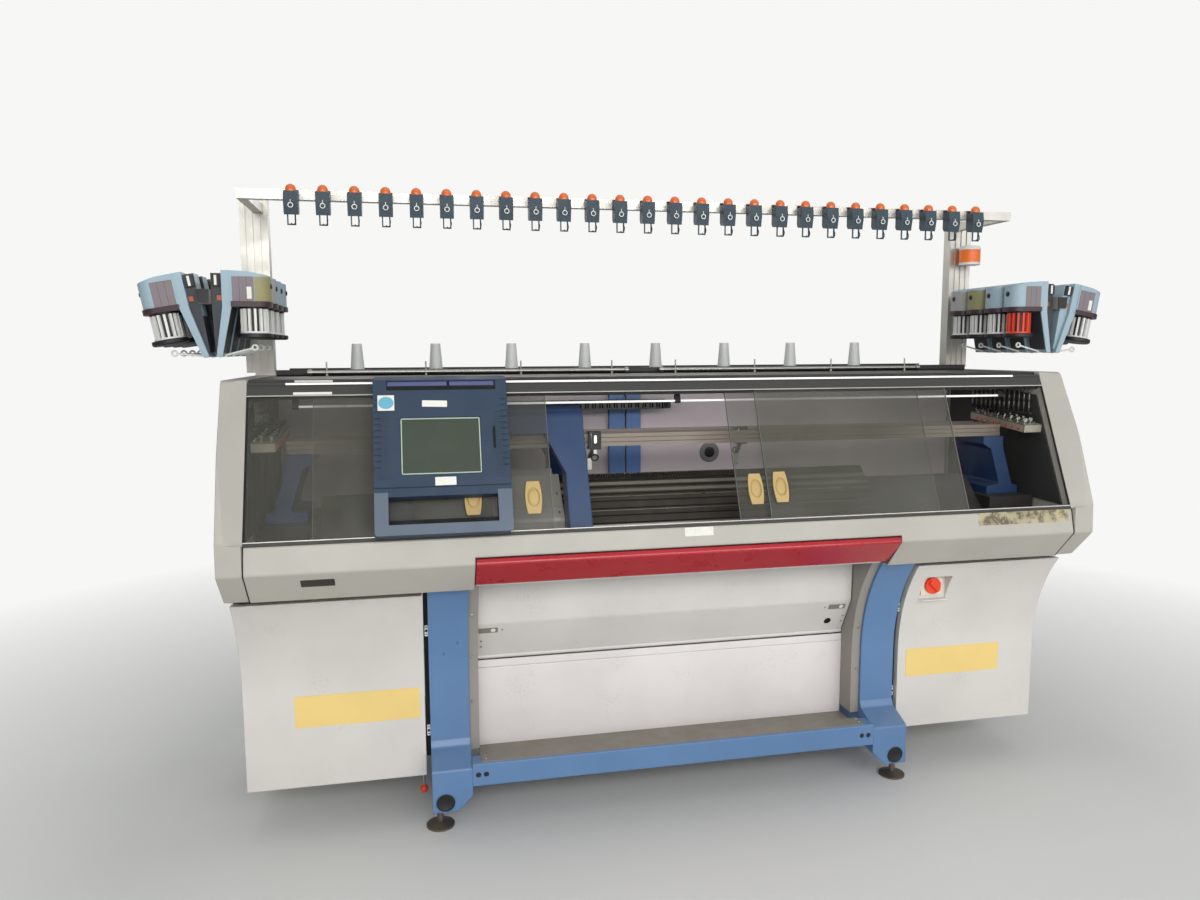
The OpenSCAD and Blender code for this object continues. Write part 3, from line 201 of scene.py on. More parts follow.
CAD_FINISHES: dict[str, Finish] = {
    "side_frame_left": BLUE, "side_frame_right": BLUE, "cross_beams": BLUE, "levelling_feet": FOOT,
    "machine_bed": IRON, "cabinet_left": COVER, "cabinet_right": COVER, "electronics_rack": INSIDE,
    "suction_unit": INSIDE, "door_left": DOOR, "door_right": DOOR, "switch_knob": SWITCH_RED,
    "front_apron": COVER, "stop_bar": RED, "bar_rail": STRIP, "fabric_tray": LEDGE,
    "takedown_panel": PANEL, "takedown_cover": FLAP, "takedown_roller": RUBBER,
    "inner_side_walls": LINER, "end_cover_left": COVER, "end_cover_right": COVER,
    "sill_rail": DARK, "top_rail": DARK, "roof": ROOF, "rear_covers": COVER,
    "inner_rear_wall": WALL, "rear_posts": POST, "terminal": SLATE, "terminal_screen": SCREEN,
    "needle_beds": NEEDLE, "carriage_rails": STEEL, "carriage": COVER, "carriage_hood": HOOD,
    "feeder_rails": RAIL, "rail_brackets": HOOD, "yarn_feeder_front": STEEL,
    "yarn_feeder_rear": STEEL, "tension_plates": DARK, "tension_knobs": CHROME,
    "cable_chain": BLACK, "bobbin_board": ROOF, "bobbin_discs": BLACK, "bobbin_cones": CLOUDY,
    "guard_tubes": STEEL, "uprights": ALU, "control_rail": ALU, "yarn_controls": TEAL,
    "control_lamps": LAMP, "beacon": ORANGE, "feeder_bars": ALU, "feeder_housings": SKY,
    "feeder_guides": SKY,
}


class Graph:
    """The node tree of a material or the world, with short calls to add and join nodes."""

    def __init__(self, owner: bpy.types.Material | bpy.types.World) -> None:
        """Empties the owner's tree and starts a new one."""
        owner.use_nodes = True
        self.tree = owner.node_tree
        self.tree.nodes.clear()

    def node(self, kind: str, settings: dict[str, object] | None = None,
             **inputs: object) -> bpy.types.Node:
        """Adds a node.

        Args:
            kind: The node's type name.
            settings: Properties of the node itself.
            inputs: Values or output sockets by input name, with spaces written as underscores.

        Returns:
            The new node.
        """
        made = self.tree.nodes.new(kind)
        for key, value in (settings or {}).items():
            setattr(made, key, value)
        for key, value in inputs.items():
            self.feed(made.inputs[key.replace("_", " ")], value)
        return made

    def feed(self, socket: Socket, value: object) -> None:
        """Sets a socket to a value, or links it to an output."""
        if isinstance(value, bpy.types.NodeSocket):
            self.tree.links.new(value, socket)
        else:
            socket.default_value = value

    def noise(self, coords: Socket, scale: float, detail: float = 3.0) -> Socket:
        """Adds a noise and returns its value socket."""
        made = self.node("ShaderNodeTexNoise", Vector=coords, Scale=scale, Detail=detail)
        return made.outputs["Fac"]

    def ramp(self, value: Socket, low: float = 0.0, high: float = 1.0, to_low: float = 0.0,
             to_high: float = 1.0) -> Socket:
        """Stretches low..high to to_low..to_high and returns the result socket."""
        made = self.node("ShaderNodeMapRange", {"clamp": True}, Value=value, From_Min=low,
                         From_Max=high, To_Min=to_low, To_Max=to_high)
        return made.outputs["Result"]

    def times(self, first: object, second: object) -> Socket:
        """Multiplies two values."""
        made = self.node("ShaderNodeMath", {"operation": "MULTIPLY"})
        self.feed(made.inputs[0], first)
        self.feed(made.inputs[1], second)
        return made.outputs[0]

    def mix(self, factor: object, first: object, second: object) -> Socket:
        """Mixes two colours by a factor."""
        made = self.node("ShaderNodeMix", {"data_type": "RGBA"})
        self.feed(made.inputs[0], factor)
        self.feed(made.inputs[6], first)
        self.feed(made.inputs[7], second)
        return made.outputs[2]


class Paintshop:
    """Makes one node material for each finish and keeps it for the next piece."""

    def __init__(self) -> None:
        """Starts with no materials."""
        self.made: dict[str, bpy.types.Material] = {}

    def material(self, finish: Finish) -> bpy.types.Material:
        """The material of a finish, made on first use."""
        if finish.name not in self.made:
            self.made[finish.name] = self._build(finish)
        return self.made[finish.name]

    def _build(self, finish: Finish) -> bpy.types.Material:
        """Builds the node tree of a finish.

        Args:
            finish: What the surface is like.

        Returns:
            The finished material.
        """
        material = bpy.data.materials.new(finish.name.replace(" ", "_"))
        graph = Graph(material)
        coords = graph.node("ShaderNodeTexCoord").outputs["Object"]
        shader = graph.node("ShaderNodeBsdfPrincipled", Metallic=finish.metal,
                            Coat_Weight=finish.coat, Coat_Roughness=0.15,
                            Base_Color=self._colour(graph, finish, coords),
                            Roughness=self._roughness(graph, finish, coords),
                            Normal=self._normal(graph, finish, coords))
        if finish.alpha < 1.0:
            smear = graph.ramp(graph.noise(coords, 2.5, 4.0), 0.3, 0.8)
            body = graph.ramp(smear, to_low=finish.alpha - 0.05, to_high=finish.alpha + 0.08)
            shade = graph.node("ShaderNodeLightPath").outputs["Is Shadow Ray"]
            thinner = graph.ramp(shade, to_low=1.0, to_high=0.3)
            graph.feed(shader.inputs["Alpha"], graph.times(body, thinner))
        if finish.glow > 0.0:
            shader.inputs["Emission Color"].default_value = (*finish.colour, 1.0)
            shader.inputs["Emission Strength"].default_value = finish.glow
        graph.node("ShaderNodeOutputMaterial", Surface=shader.outputs["BSDF"])
        material.diffuse_color = (*finish.colour, finish.alpha)
        return material

    @staticmethod
    def _colour(graph: Graph, finish: Finish, coords: Socket) -> Socket:
        """Base colour with slow variation, grime and settled dust."""
        base = finish.colour
        darker = (*[c * (1.0 - 1.6 * finish.blotch) for c in base], 1.0)
        slow = graph.ramp(graph.noise(coords, 3.2, 5.0), 0.35, 0.75)
        colour = graph.mix(slow, (*base, 1.0), darker)
        if finish.texture is Texture.CAST:
            spots = graph.ramp(graph.noise(coords, 260.0, 2.0), 0.5, 0.75)
            colour = graph.mix(graph.times(spots, 0.35), colour, (*[c * 1.8 for c in base], 1.0))
        if finish.texture is Texture.BRUSHED:
            turned = graph.node("ShaderNodeMapping", Vector=coords, Scale=(3.0, 160.0, 160.0))
            lines = graph.ramp(graph.noise(turned.outputs["Vector"], 4.0, 2.0), 0.3, 0.7)
            colour = graph.mix(graph.times(lines, 0.25), colour, (*[c * 0.7 for c in base], 1.0))
        if finish.soil > 0.0:
            scale, coarse, small, grime = (
                (38.0, (0.42, 0.58), (0.25, 0.5), srgb(74, 58, 40)) if finish.soil >= 1.0
                else (9.0, (0.56, 0.8), (0.45, 0.7), srgb(96, 84, 66)))
            patch = graph.ramp(graph.noise(coords, scale, 8.0), *coarse)
            fine = graph.ramp(graph.noise(coords, 140.0, 3.0), *small)
            amount = graph.times(graph.times(patch, fine), min(1.0, 0.8 * finish.soil))
            colour = graph.mix(amount, colour, (*grime, 1.0))
        if finish.dust > 0.0:
            normal = graph.node("ShaderNodeNewGeometry").outputs["Normal"]
            facing = graph.node("ShaderNodeSeparateXYZ", Vector=normal)
            up = graph.ramp(facing.outputs["Z"], 0.55, 1.0)
            cloud = graph.ramp(graph.noise(coords, 22.0, 6.0), 0.25, 0.8)
            amount = graph.times(graph.times(up, cloud), finish.dust)
            colour = graph.mix(amount, colour, (*srgb(168, 160, 146), 1.0))
        return colour

    @staticmethod
    def _roughness(graph: Graph, finish: Finish, coords: Socket) -> Socket:
        """Roughness that wanders with handling marks."""
        return graph.ramp(graph.noise(coords, 14.0, 6.0), 0.3, 0.75,
                          max(0.03, finish.rough - 0.06), min(1.0, finish.rough + 0.14))

    @staticmethod
    def _normal(graph: Graph, finish: Finish, coords: Socket) -> Socket:
        """Fine bump of the surface, on edges that are softened a little."""
        if finish.grain <= 0.0:
            return graph.node("ShaderNodeNewGeometry").outputs["Normal"]
        along = 0.03 if finish.texture is Texture.BRUSHED else 1.0
        turned = graph.node("ShaderNodeMapping", Vector=coords, Scale=(along, 1.0, 1.0))
        height = graph.noise(turned.outputs["Vector"], 1.0 / finish.pitch, 2.0)
        bump = graph.node("ShaderNodeBump", Height=height, Strength=0.5, Distance=finish.grain)
        if finish.round_edges > 0.0:
            soft = graph.node("ShaderNodeBevel", {"samples": 3}, Radius=finish.round_edges)
            graph.feed(bump.inputs["Normal"], soft.outputs["Normal"])
        return bump.outputs["Normal"]


PAINTS = Paintshop()

WINDOW = Matrix((
    (1.0, 0.0, 0.0, 0.0),
    (0.0, math.sin(LEAN), -math.cos(LEAN), SILL_Y),
    (0.0, math.cos(LEAN), math.sin(LEAN), SILL_Z),
    (0.0, 0.0, 0.0, 1.0),
))


def place(x: float, y: float, z: float, about: str = "X", degrees: float = 0.0) -> Matrix:
    """A place in the measuring frame, turned about one axis."""
    return Matrix.Translation((x, y, z)) @ Matrix.Rotation(math.radians(degrees), 4, about)


# Local X, Y and Z of this frame are the machine's depth, height and length
ALONG_X = Matrix(((0.0, 0.0, 1.0, 0.0), (1.0, 0.0, 0.0, 0.0), (0.0, 1.0, 0.0, 0.0),
                  (0.0, 0.0, 0.0, 1.0)))
# The two ends of the flap's lower half, and the direction up it
FLAP_LOW, FLAP_HIGH = Vector((0.0, 186.0, 484.0)), Vector((0.0, 119.0, 608.0))
FLAP_UP = (FLAP_HIGH - FLAP_LOW).normalized()
# The curve that the legs and doors follow: its centre and the legs' radius
ARC_Y = -421.0
BEND_Z = 430.0
LEG_R = 520.0


def leg_face(radius: float, z: float) -> float:
    """Depth at a height of the curve that the legs and doors follow."""
    return ARC_Y + math.sqrt(radius ** 2 - max(0.0, z - BEND_Z) ** 2)


def curved_band(inner: float, outer: float, low: float, high: float,
                steps: int = 16) -> list[Pair]:
    """Outline in depth and height between two radii of the leg curve."""
    heights = [low + (high - low) * i / steps for i in range(steps + 1)]
    return ([(leg_face(inner, z), z) for z in heights]
            + [(leg_face(outer, z), z) for z in reversed(heights)])


def facing_front(x: float, y: float, z: float) -> Matrix:
    """A place whose local Z looks out of the machine's front and local Y up."""
    return Matrix.Translation((x, y, z)) @ Matrix.Rotation(math.radians(90.0), 4, "X")


def flipped(side: float) -> Matrix:
    """Mirrors a place to the other end of the machine where side is -1."""
    return Matrix.Diagonal((side, 1.0, 1.0, 1.0))


def flank(sign: float, depth: float = 0.0) -> Matrix:
    """A place whose local Y is up and local Z looks forwards (-1) or backwards (1)."""
    return Matrix(((1.0, 0.0, 0.0, 0.0), (0.0, 0.0, sign, sign * depth), (0.0, 1.0, 0.0, 0.0),
                   (0.0, 0.0, 0.0, 1.0)))


def leaning(up: Vector, at: Vector) -> Matrix:
    """A place on a sloping face: local Y runs up the face and local Z stands off it."""
    across = Vector((1.0, 0.0, 0.0))
    made = Matrix((across, up, across.cross(up))).transposed().to_4x4()
    made.translation = at
    return made


def span(side: int, near: float, far: float) -> list[float]:
    """Limits along X, in order, of a piece between two distances from the middle."""
    return sorted((side * near, side * far))


def moved(outline: Sequence[Pair], x: float, y: float) -> list[Pair]:
    """An outline set at another middle."""
    return [(x + px, y + py) for px, py in outline]


def hoop(middle: Triple, radius: float, tall: float, steps: int) -> list[Triple]:
    """Points of an upright ring that faces the machine's front."""
    return [(middle[0] + radius * math.cos(a), middle[1], middle[2] + tall * math.sin(a))
            for a in (math.tau * i / steps for i in range(steps))]


def rounded_box(width: float, height: float, radius: float, steps: int = 5) -> list[Pair]:
    """Outline of a rectangle about the origin with rounded corners."""
    points = []
    for sx, sy, start in ((1, 1, 0), (-1, 1, 90), (-1, -1, 180), (1, -1, 270)):
        for i in range(steps + 1):
            a = math.radians(start + 90 * i / steps)
            points.append((sx * (width / 2 - radius) + radius * math.cos(a),
                           sy * (height / 2 - radius) + radius * math.sin(a)))
    return points


def disc(radius: float, steps: int = 24, centre: Pair = (0.0, 0.0)) -> list[Pair]:
    """Outline of a circle."""
    return [(centre[0] + radius * math.cos(math.tau * i / steps),
             centre[1] + radius * math.sin(math.tau * i / steps)) for i in range(steps)]


class Shape:
    """A mesh in the making, in millimetres of the measuring frame."""

    def __init__(self) -> None:
        """Starts empty."""
        self.mesh = bmesh.new()

    def prism(self, outline: Sequence[Pair], low: float, high: float,
              at: Matrix = Matrix()) -> Shape:
        """Adds an outline in the local XY plane, extruded along local Z.

        Args:
            outline: Corner points, in order.
            low: Lower local Z.
            high: Upper local Z.
            at: Where the local frame stands.

        Returns:
            This shape.
        """
        rings = [[self.mesh.verts.new(at @ Vector((x, y, z))) for x, y in outline]
                 for z in (low, high)]
        count = len(outline)
        self.mesh.faces.new(list(reversed(rings[0])))
        self.mesh.faces.new(rings[1])
        for i in range(count):
            j = (i + 1) % count
            self.mesh.faces.new((rings[0][i], rings[0][j], rings[1][j], rings[1][i]))
        return self

    def block(self, low: Triple, high: Triple, at: Matrix = Matrix()) -> Shape:
        """Adds a box between two corners of the local frame."""
        outline = [(low[0], low[1]), (high[0], low[1]), (high[0], high[1]), (low[0], high[1])]
        return self.prism(outline, low[2], high[2], at)

    def turned(self, profile: Sequence[Pair], at: Matrix = Matrix(), steps: int = 32,
               ring: bool = False) -> Shape:
        """Adds a solid turned about local Z.

        Args:
            profile: (radius, height) points from one pole or rim to the other.
            at: Where the local frame stands.
            steps: Segments round the axis.
            ring: True where the profile closes on itself and leaves a hole in the middle.

        Returns:
            This shape.
        """
        rings: list[list[bmesh.types.BMVert]] = []
        for radius, height in profile:
            if radius < 1e-6:
                rings.append([self.mesh.verts.new(at @ Vector((0.0, 0.0, height)))])
                continue
            rings.append([self.mesh.verts.new(at @ Vector((x, y, height)))
                          for x, y in disc(radius, steps)])
        for lower, upper in zip(rings, rings[1:] + (rings[:1] if ring else [])):
            for i in range(steps):
                j = (i + 1) % steps
                corners = (lower[i % len(lower)], lower[j % len(lower)],
                           upper[j % len(upper)], upper[i % len(upper)])
                unique = list(dict.fromkeys(corners))
                if len(unique) > 2:
                    self.mesh.faces.new(unique)
        for edge in () if ring else (list(reversed(rings[0])), rings[-1]):
            if len(edge) > 2:
                self.mesh.faces.new(edge)
        return self

    def tube(self, path: Sequence[Triple], radius: float, at: Matrix = Matrix(), steps: int = 8,
             closed: bool = False) -> Shape:
        """Adds a round bar along a path.

        Args:
            path: Points that the bar's middle follows.
            radius: Half the bar's thickness.
            at: Where the local frame stands.
            steps: Segments round the bar.
            closed: True where the path runs back to its start.

        Returns:
            This shape.
        """
        points = [at @ Vector(p) for p in path]
        count = len(points)
        rings = []
        side = None
        for i, point in enumerate(points):
            before = points[i - 1] if i > 0 or closed else point
            after = points[(i + 1) % count] if i < count - 1 or closed else point
            along = (after - before).normalized()
            if side is None:
                side = along.orthogonal().normalized()
            side = (side - along * side.dot(along)).normalized()
            other = along.cross(side)
            around = [side * math.cos(a) + other * math.sin(a)
                      for a in (math.tau * k / steps for k in range(steps))]
            rings.append([self.mesh.verts.new(point + way * radius) for way in around])
        pairs = list(zip(rings, rings[1:])) + ([(rings[-1], rings[0])] if closed else [])
        for lower, upper in pairs:
            for k in range(steps):
                m = (k + 1) % steps
                self.mesh.faces.new((lower[k], lower[m], upper[m], upper[k]))
        if not closed:
            self.mesh.faces.new(list(reversed(rings[0])))
            self.mesh.faces.new(rings[-1])
        return self

    def ring_plate(self, outer: Sequence[Pair], inner: Sequence[Pair], low: float, high: float,
                   at: Matrix = Matrix()) -> Shape:
        """Adds a flat frame between two outlines of equal point count."""
        rows = [[self.mesh.verts.new(at @ Vector((x, y, z))) for x, y in line]
                for line, z in ((outer, low), (outer, high), (inner, high), (inner, low))]
        count = len(outer)
        for row, after in ((0, 1), (1, 2), (2, 3), (3, 0)):
            for i in range(count):
                j = (i + 1) % count
                self.mesh.faces.new((rows[row][i], rows[row][j], rows[after][j], rows[after][i]))
        return self

    def soften(self, width: float, segments: int = 2, sharp: float = 30.0) -> Shape:
        """Bevels the edges that are sharper than an angle in degrees."""
        limit = math.radians(sharp)
        edges = [e for e in self.mesh.edges
                 if len(e.link_faces) == 2 and e.calc_face_angle(0.0) > limit]
        bmesh.ops.bevel(self.mesh, geom=edges, offset=width, segments=segments, profile=0.5,
                        affect="EDGES", clamp_overlap=True)
        return self

    def repeat(self, item: Shape, finish: Finish, count: int = 1, start: Triple = (0.0, 0.0, 0.0),
               step: Triple = (0.0, 0.0, 0.0), at: Matrix = Matrix()) -> Shape:
        """Adds an item several times in a row, set by geometry nodes.

        Args:
            item: The shape to repeat, about its own origin. It is used up.
            finish: Its finish.
            count: How many.
            start: Place of the first.
            step: From one to the next.
            at: Where the row's frame stands.

        Returns:
            This shape.
        """
        row = repeater().run(item, finish, count, start, step)
        row.transform(at)
        self.mesh.from_mesh(row)
        bpy.data.meshes.remove(row)
        return self

    def make(self, name: str, finish: Finish, slot: str, body: str = ROOT,
             smooth: bool = True) -> bpy.types.Object:
        """Turns the shape into a piece of the object.

        Args:
            name: The piece's name.
            finish: Its finish.
            slot: The record's material slot; not used.
            body: The body that it moves with.
            smooth: True for smooth shading with sharp corners kept.

        Returns:
            The new object.
        """
        bmesh.ops.recalc_face_normals(self.mesh, faces=self.mesh.faces)
        shift = Matrix.Translation((0.0, -MID_Y * MM, 0.0)) @ Matrix.Scale(MM, 4)
        bmesh.ops.transform(self.mesh, matrix=shift, verts=self.mesh.verts)
        data = bpy.data.meshes.new(name)
        self.mesh.to_mesh(data)
        self.mesh.free()
        return dress(data, name, finish, body, smooth)


def dress(data: bpy.types.Mesh, name: str, finish: Finish, body: str = ROOT,
          smooth: bool = True) -> bpy.types.Object:
    """Makes a mesh a piece: links it, paints it and hangs it on its body."""
    if smooth:
        data.shade_smooth()
        data.set_sharp_from_angle(angle=math.radians(SHARP_DEGREES))
    data.materials.clear()
    data.materials.append(PAINTS.material(finish))
    piece = bpy.data.objects.new(name, data)
    bpy.context.scene.collection.objects.link(piece)
    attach(piece, body)
    LOG.info("piece %s: %d faces on %s", name, len(data.polygons), body)
    return piece


class Repeater:
    """Geometry nodes that set one item many times in a row."""

    def __init__(self) -> None:
        """Builds the node tree once."""
        self.tree = bpy.data.node_groups.new("repeat_item", "GeometryNodeTree")
        face = self.tree.interface
        self.ids: dict[str, str] = {}
        for name, kind in (("Item", "NodeSocketObject"), ("Count", "NodeSocketInt"),
                           ("Start", "NodeSocketVector"), ("Step", "NodeSocketVector"),
                           ("Finish", "NodeSocketMaterial")):
            made = face.new_socket(name=name, in_out="INPUT", socket_type=kind)
            self.ids[name] = made.identifier
        face.new_socket(name="Result", in_out="OUTPUT", socket_type="NodeSocketGeometry")
        nodes, links = self.tree.nodes, self.tree.links
        source, target = nodes.new("NodeGroupInput"), nodes.new("NodeGroupOutput")
        line = nodes.new("GeometryNodeMeshLine")
        info = nodes.new("GeometryNodeObjectInfo")
        spread = nodes.new("GeometryNodeInstanceOnPoints")
        solid = nodes.new("GeometryNodeRealizeInstances")
        paint = nodes.new("GeometryNodeSetMaterial")
        for giver, given, taker, taken in (
                (source, "Count", line, "Count"), (source, "Start", line, "Start Location"),
                (source, "Step", line, "Offset"), (source, "Item", info, "Object"),
                (line, "Mesh", spread, "Points"), (info, "Geometry", spread, "Instance"),
                (spread, "Instances", solid, "Geometry"), (solid, "Geometry", paint, "Geometry"),
                (source, "Finish", paint, "Material"), (paint, "Geometry", target, "Result")):
            links.new(giver.outputs[given], taker.inputs[taken])

    def run(self, item: Shape, finish: Finish, count: int, start: Triple,
            step: Triple) -> bpy.types.Mesh:
        """Sets an item several times.

        Args:
            item: The shape to repeat, about its own origin.
            finish: Its finish.
            count: How many.
            start: Place of the first, in millimetres.
            step: From one to the next, in millimetres.

        Returns:
            One mesh in millimetres.
        """
        bmesh.ops.recalc_face_normals(item.mesh, faces=item.mesh.faces)
        data = bpy.data.meshes.new("item")
        item.mesh.to_mesh(data)
        item.mesh.free()
        source = bpy.data.objects.new("item", data)
        holder = bpy.data.objects.new("holder", bpy.data.meshes.new("holder"))
        for thing in (source, holder):
            bpy.context.scene.collection.objects.link(thing)
        modifier = holder.modifiers.new("repeat", "NODES")
        modifier.node_group = self.tree
        values = {"Item": source, "Count": count, "Start": start, "Step": step,
                  "Finish": PAINTS.material(finish)}
        for name, value in values.items():
            modifier[self.ids[name]] = value
        bpy.context.view_layer.update()
        ready = holder.evaluated_get(bpy.context.evaluated_depsgraph_get())
        result = bpy.data.meshes.new_from_object(ready)
        holder.modifiers.remove(modifier)
        bpy.data.objects.remove(holder)
        bpy.data.objects.remove(source)
        return result


REPEATERS: list[Repeater] = []


def repeater() -> Repeater:
    """The repeating tree, made on first use."""
    if not REPEATERS:
        REPEATERS.append(Repeater())
    return REPEATERS[0]


@dataclass
class Studio:
    """Camera, plain light, floor and backdrop."""

    camera_at: Triple = (-0.8076, -2.5750 - MID_Y * MM, 1.4637)
    yaw: float = 11.8398
    pitch: float = -6.5
    roll: float = 0.238
    lens: float = 26.2545
    # Name, place, aim, both sides in metres and power in watts of each lamp
    lamps: tuple[tuple[str, Triple, Triple, Pair, float], ...] = (
        ("overhead", (0.0, -0.2, 4.2), (0.0, 0.2, 0.6), (5.0, 2.2), 26.0),
        ("front", (-2.2, -4.6, 2.6), (0.0, 0.0, 0.8), (3.0, 2.0), 36.0),
        ("high", (0.4, -4.9, 2.8), (0.0, 0.0, 0.6), (5.0, 1.2), 106.0),
        ("low", (0.4, -5.0, 0.8), (0.0, 0.0, 0.4), (5.0, 1.0), 34.0),
        ("right", (3.6, -3.4, 2.4), (0.4, 0.0, 0.8), (2.0, 2.0), 24.0),
        ("behind", (0.0, 4.2, 3.2), (0.0, 0.3, 1.0), (4.0, 2.0), 40.0),
        ("inside", (0.0, -0.12, 1.32), (0.0, 0.28, 1.12), (1.9, 0.04), 1.8),
    )

    def camera(self) -> None:
        """Sets the camera where the photograph was taken from."""
        yaw, pitch, roll = (math.radians(a) for a in (self.yaw, self.pitch, self.roll))
        forward = Vector((math.sin(yaw) * math.cos(pitch), math.cos(yaw) * math.cos(pitch),
                          math.sin(pitch)))
        right = Vector((math.cos(yaw), -math.sin(yaw), 0.0))
        down = forward.cross(right)
        across = right * math.cos(roll) + down * math.sin(roll)
        below = -right * math.sin(roll) + down * math.cos(roll)
        frame = Matrix((across, -below, -forward)).transposed().to_4x4()
        data = bpy.data.cameras.new("camera")
        data.lens = self.lens
        data.sensor_width = 36.0
        data.clip_start = 0.05
        data.clip_end = 100.0
        camera = bpy.data.objects.new("camera", data)
        camera.matrix_world = Matrix.Translation(self.camera_at) @ frame
        bpy.context.scene.collection.objects.link(camera)
        bpy.context.scene.camera = camera

    @staticmethod
    def lamp(name: str, at: Triple, towards: Triple, size: Pair, power: float) -> None:
        """Adds one soft area lamp.

        Args:
            name: The lamp's name.
            at: Where it hangs, in metres.
            towards: What it points at.
            size: Its two sides.
            power: Its power in watts.
        """
        data = bpy.data.lights.new(name, "AREA")
        data.shape = "RECTANGLE"
        data.size, data.size_y = size
        data.energy = power
        lamp = bpy.data.objects.new(name, data)
        lamp.location = at
        aim = Vector(towards) - Vector(at)
        lamp.rotation_euler = aim.to_track_quat("-Z", "Y").to_euler()
        lamp.visible_camera = False
        bpy.context.scene.collection.objects.link(lamp)

    def lights(self) -> None:
        """Hangs the lamps and sets the world."""
        for lamp in self.lamps:
            self.lamp(*lamp)
        world = bpy.data.worlds.new("studio")
        bpy.context.scene.world = world
        graph = Graph(world)
        rays = graph.node("ShaderNodeLightPath")
        seen = graph.node("ShaderNodeMath", {"operation": "MAXIMUM"})
        plain = graph.node("ShaderNodeBackground", Color=(0.90, 0.93, 0.92, 1.0), Strength=0.44)
        shown = graph.node("ShaderNodeBackground", Color=BACKDROP, Strength=1.0)
        mix = graph.node("ShaderNodeMixShader", Fac=seen.outputs[0])
        for socket, value in ((seen.inputs[0], rays.outputs["Is Camera Ray"]),
                              (seen.inputs[1], rays.outputs["Is Transmission Ray"]),
                              (mix.inputs[1], plain.outputs[0]), (mix.inputs[2], shown.outputs[0])):
            graph.feed(socket, value)
        graph.node("ShaderNodeOutputWorld", Surface=mix.outputs[0])

    @staticmethod
    def floor() -> None:
        """Lays a plain pale floor."""
        data = bpy.data.meshes.new("floor")
        half = 30.0
        corners = [(-half, -half, 0.0), (half, -half, 0.0), (half, half, 0.0), (-half, half, 0.0)]
        data.from_pydata(corners, [], [(0, 1, 2, 3)])
        material = bpy.data.materials.new("floor")
        graph = Graph(material)
        coords = graph.node("ShaderNodeTexCoord").outputs["Object"]
        shade = graph.mix(graph.noise(coords, 1.3), (0.70, 0.70, 0.69, 1.0),
                          (0.66, 0.66, 0.65, 1.0))
        shader = graph.node("ShaderNodeBsdfPrincipled", Base_Color=shade, Roughness=0.6)
        backdrop = graph.node("ShaderNodeEmission", Color=BACKDROP)
        away = graph.node("ShaderNodeVectorMath", {"operation": "LENGTH"})
        graph.feed(away.inputs[0], coords)
        far = graph.ramp(away.outputs["Value"], 1.7, 4.2)
        seen = graph.node("ShaderNodeLightPath").outputs["Is Camera Ray"]
        blend = graph.node("ShaderNodeMixShader", Fac=graph.times(far, seen))
        graph.feed(blend.inputs[1], shader.outputs["BSDF"])
        graph.feed(blend.inputs[2], backdrop.outputs["Emission"])
        graph.node("ShaderNodeOutputMaterial", Surface=blend.outputs["Shader"])
        data.materials.append(material)
        floor = bpy.data.objects.new("floor", data)
        bpy.context.scene.collection.objects.link(floor)

    def build(self) -> None:
        """Sets up the picture's colours, the camera, the lamps and the floor."""
        bpy.context.scene.view_settings.view_transform = "Standard"
        self.camera()
        self.lights()
        self.floor()


def paint_cad(nodes: dict[str, bpy.types.Object]) -> None:
    """Gives each CAD node that stays visible its finish."""
    for name, finish in CAD_FINISHES.items():
        node = nodes[name]
        paint = PAINTS.material(finish)
        if not node.material_slots:
            node.data.materials.append(paint)
        for held in node.material_slots:
            held.material = paint


@dataclass
class SlidingCover:
    """One smoked cover: the sheet, its bright edges and the moulded grip."""

    body: str
    left: float
    grip_x: float
    depth: float
    length: float = 670.0
    thick: float = 5.0
    low: float = -8.0
    high: float = 423.0

    def build(self) -> None:
        """Makes the sheet and grip and lets them stand for the CAD node."""
        outline = rounded_box(self.length, self.high - self.low, 3.0, 2)
        middle = (self.left + self.length / 2, (self.low + self.high) / 2)
        sheet = Shape().prism(moved(outline, *middle), self.depth, self.depth + self.thick, WINDOW)
        pane = sheet.make(self.body + "_sheet", GLASS, "smoked", self.body, smooth=False)
        at = WINDOW @ Matrix.Translation((self.grip_x, 98.0, self.depth + self.thick))
        bow = [(24.0 - 6.0 * (y / 48.0) ** 2, y) for y in (48.0 - 8.0 * i for i in range(13))]
        outline = (bow + [(x, -48.0) for x in (9.0, 0.0, -9.0)]
                   + [(-x, -y) for x, y in bow] + [(x, 48.0) for x in (-9.0, 0.0, 9.0)])
        mouth = [(x / d, y / d) for x, y, d in
                 ((x, y, math.hypot(x / 18.7, y / 29.5)) for x, y in outline)]
        grip = Shape().ring_plate(outline, mouth, 0.0, 5.2, at).soften(1.0, 3, 40.0)
        dish = [(0.0, 0.3), (19.8, 0.3), (19.8, 4.4), (19.2, 1.8), (18.2, 0.8), (17.0, 1.0),
                (16.0, 2.8), (14.0, 4.2), (7.0, 4.8), (0.0, 5.0)]
        grip.turned(dish, at @ Matrix.Diagonal((0.945, 1.49, 1.0, 1.0)), 40)
        piece = grip.make(self.body + "_grip", GRIP, "smoked", self.body)
        ends = Shape()
        for x in (self.left, self.left + self.length - 1.5):
            ends.block((x, 2.0, self.depth - 0.3),
                       (x + 1.5, 413.0, self.depth + self.thick + 0.3), WINDOW)
        edge = ends.make(self.body + "_edges", EDGE, "smoked", self.body, smooth=False)
        for thing in (pane, piece, edge):
            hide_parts(self.body)


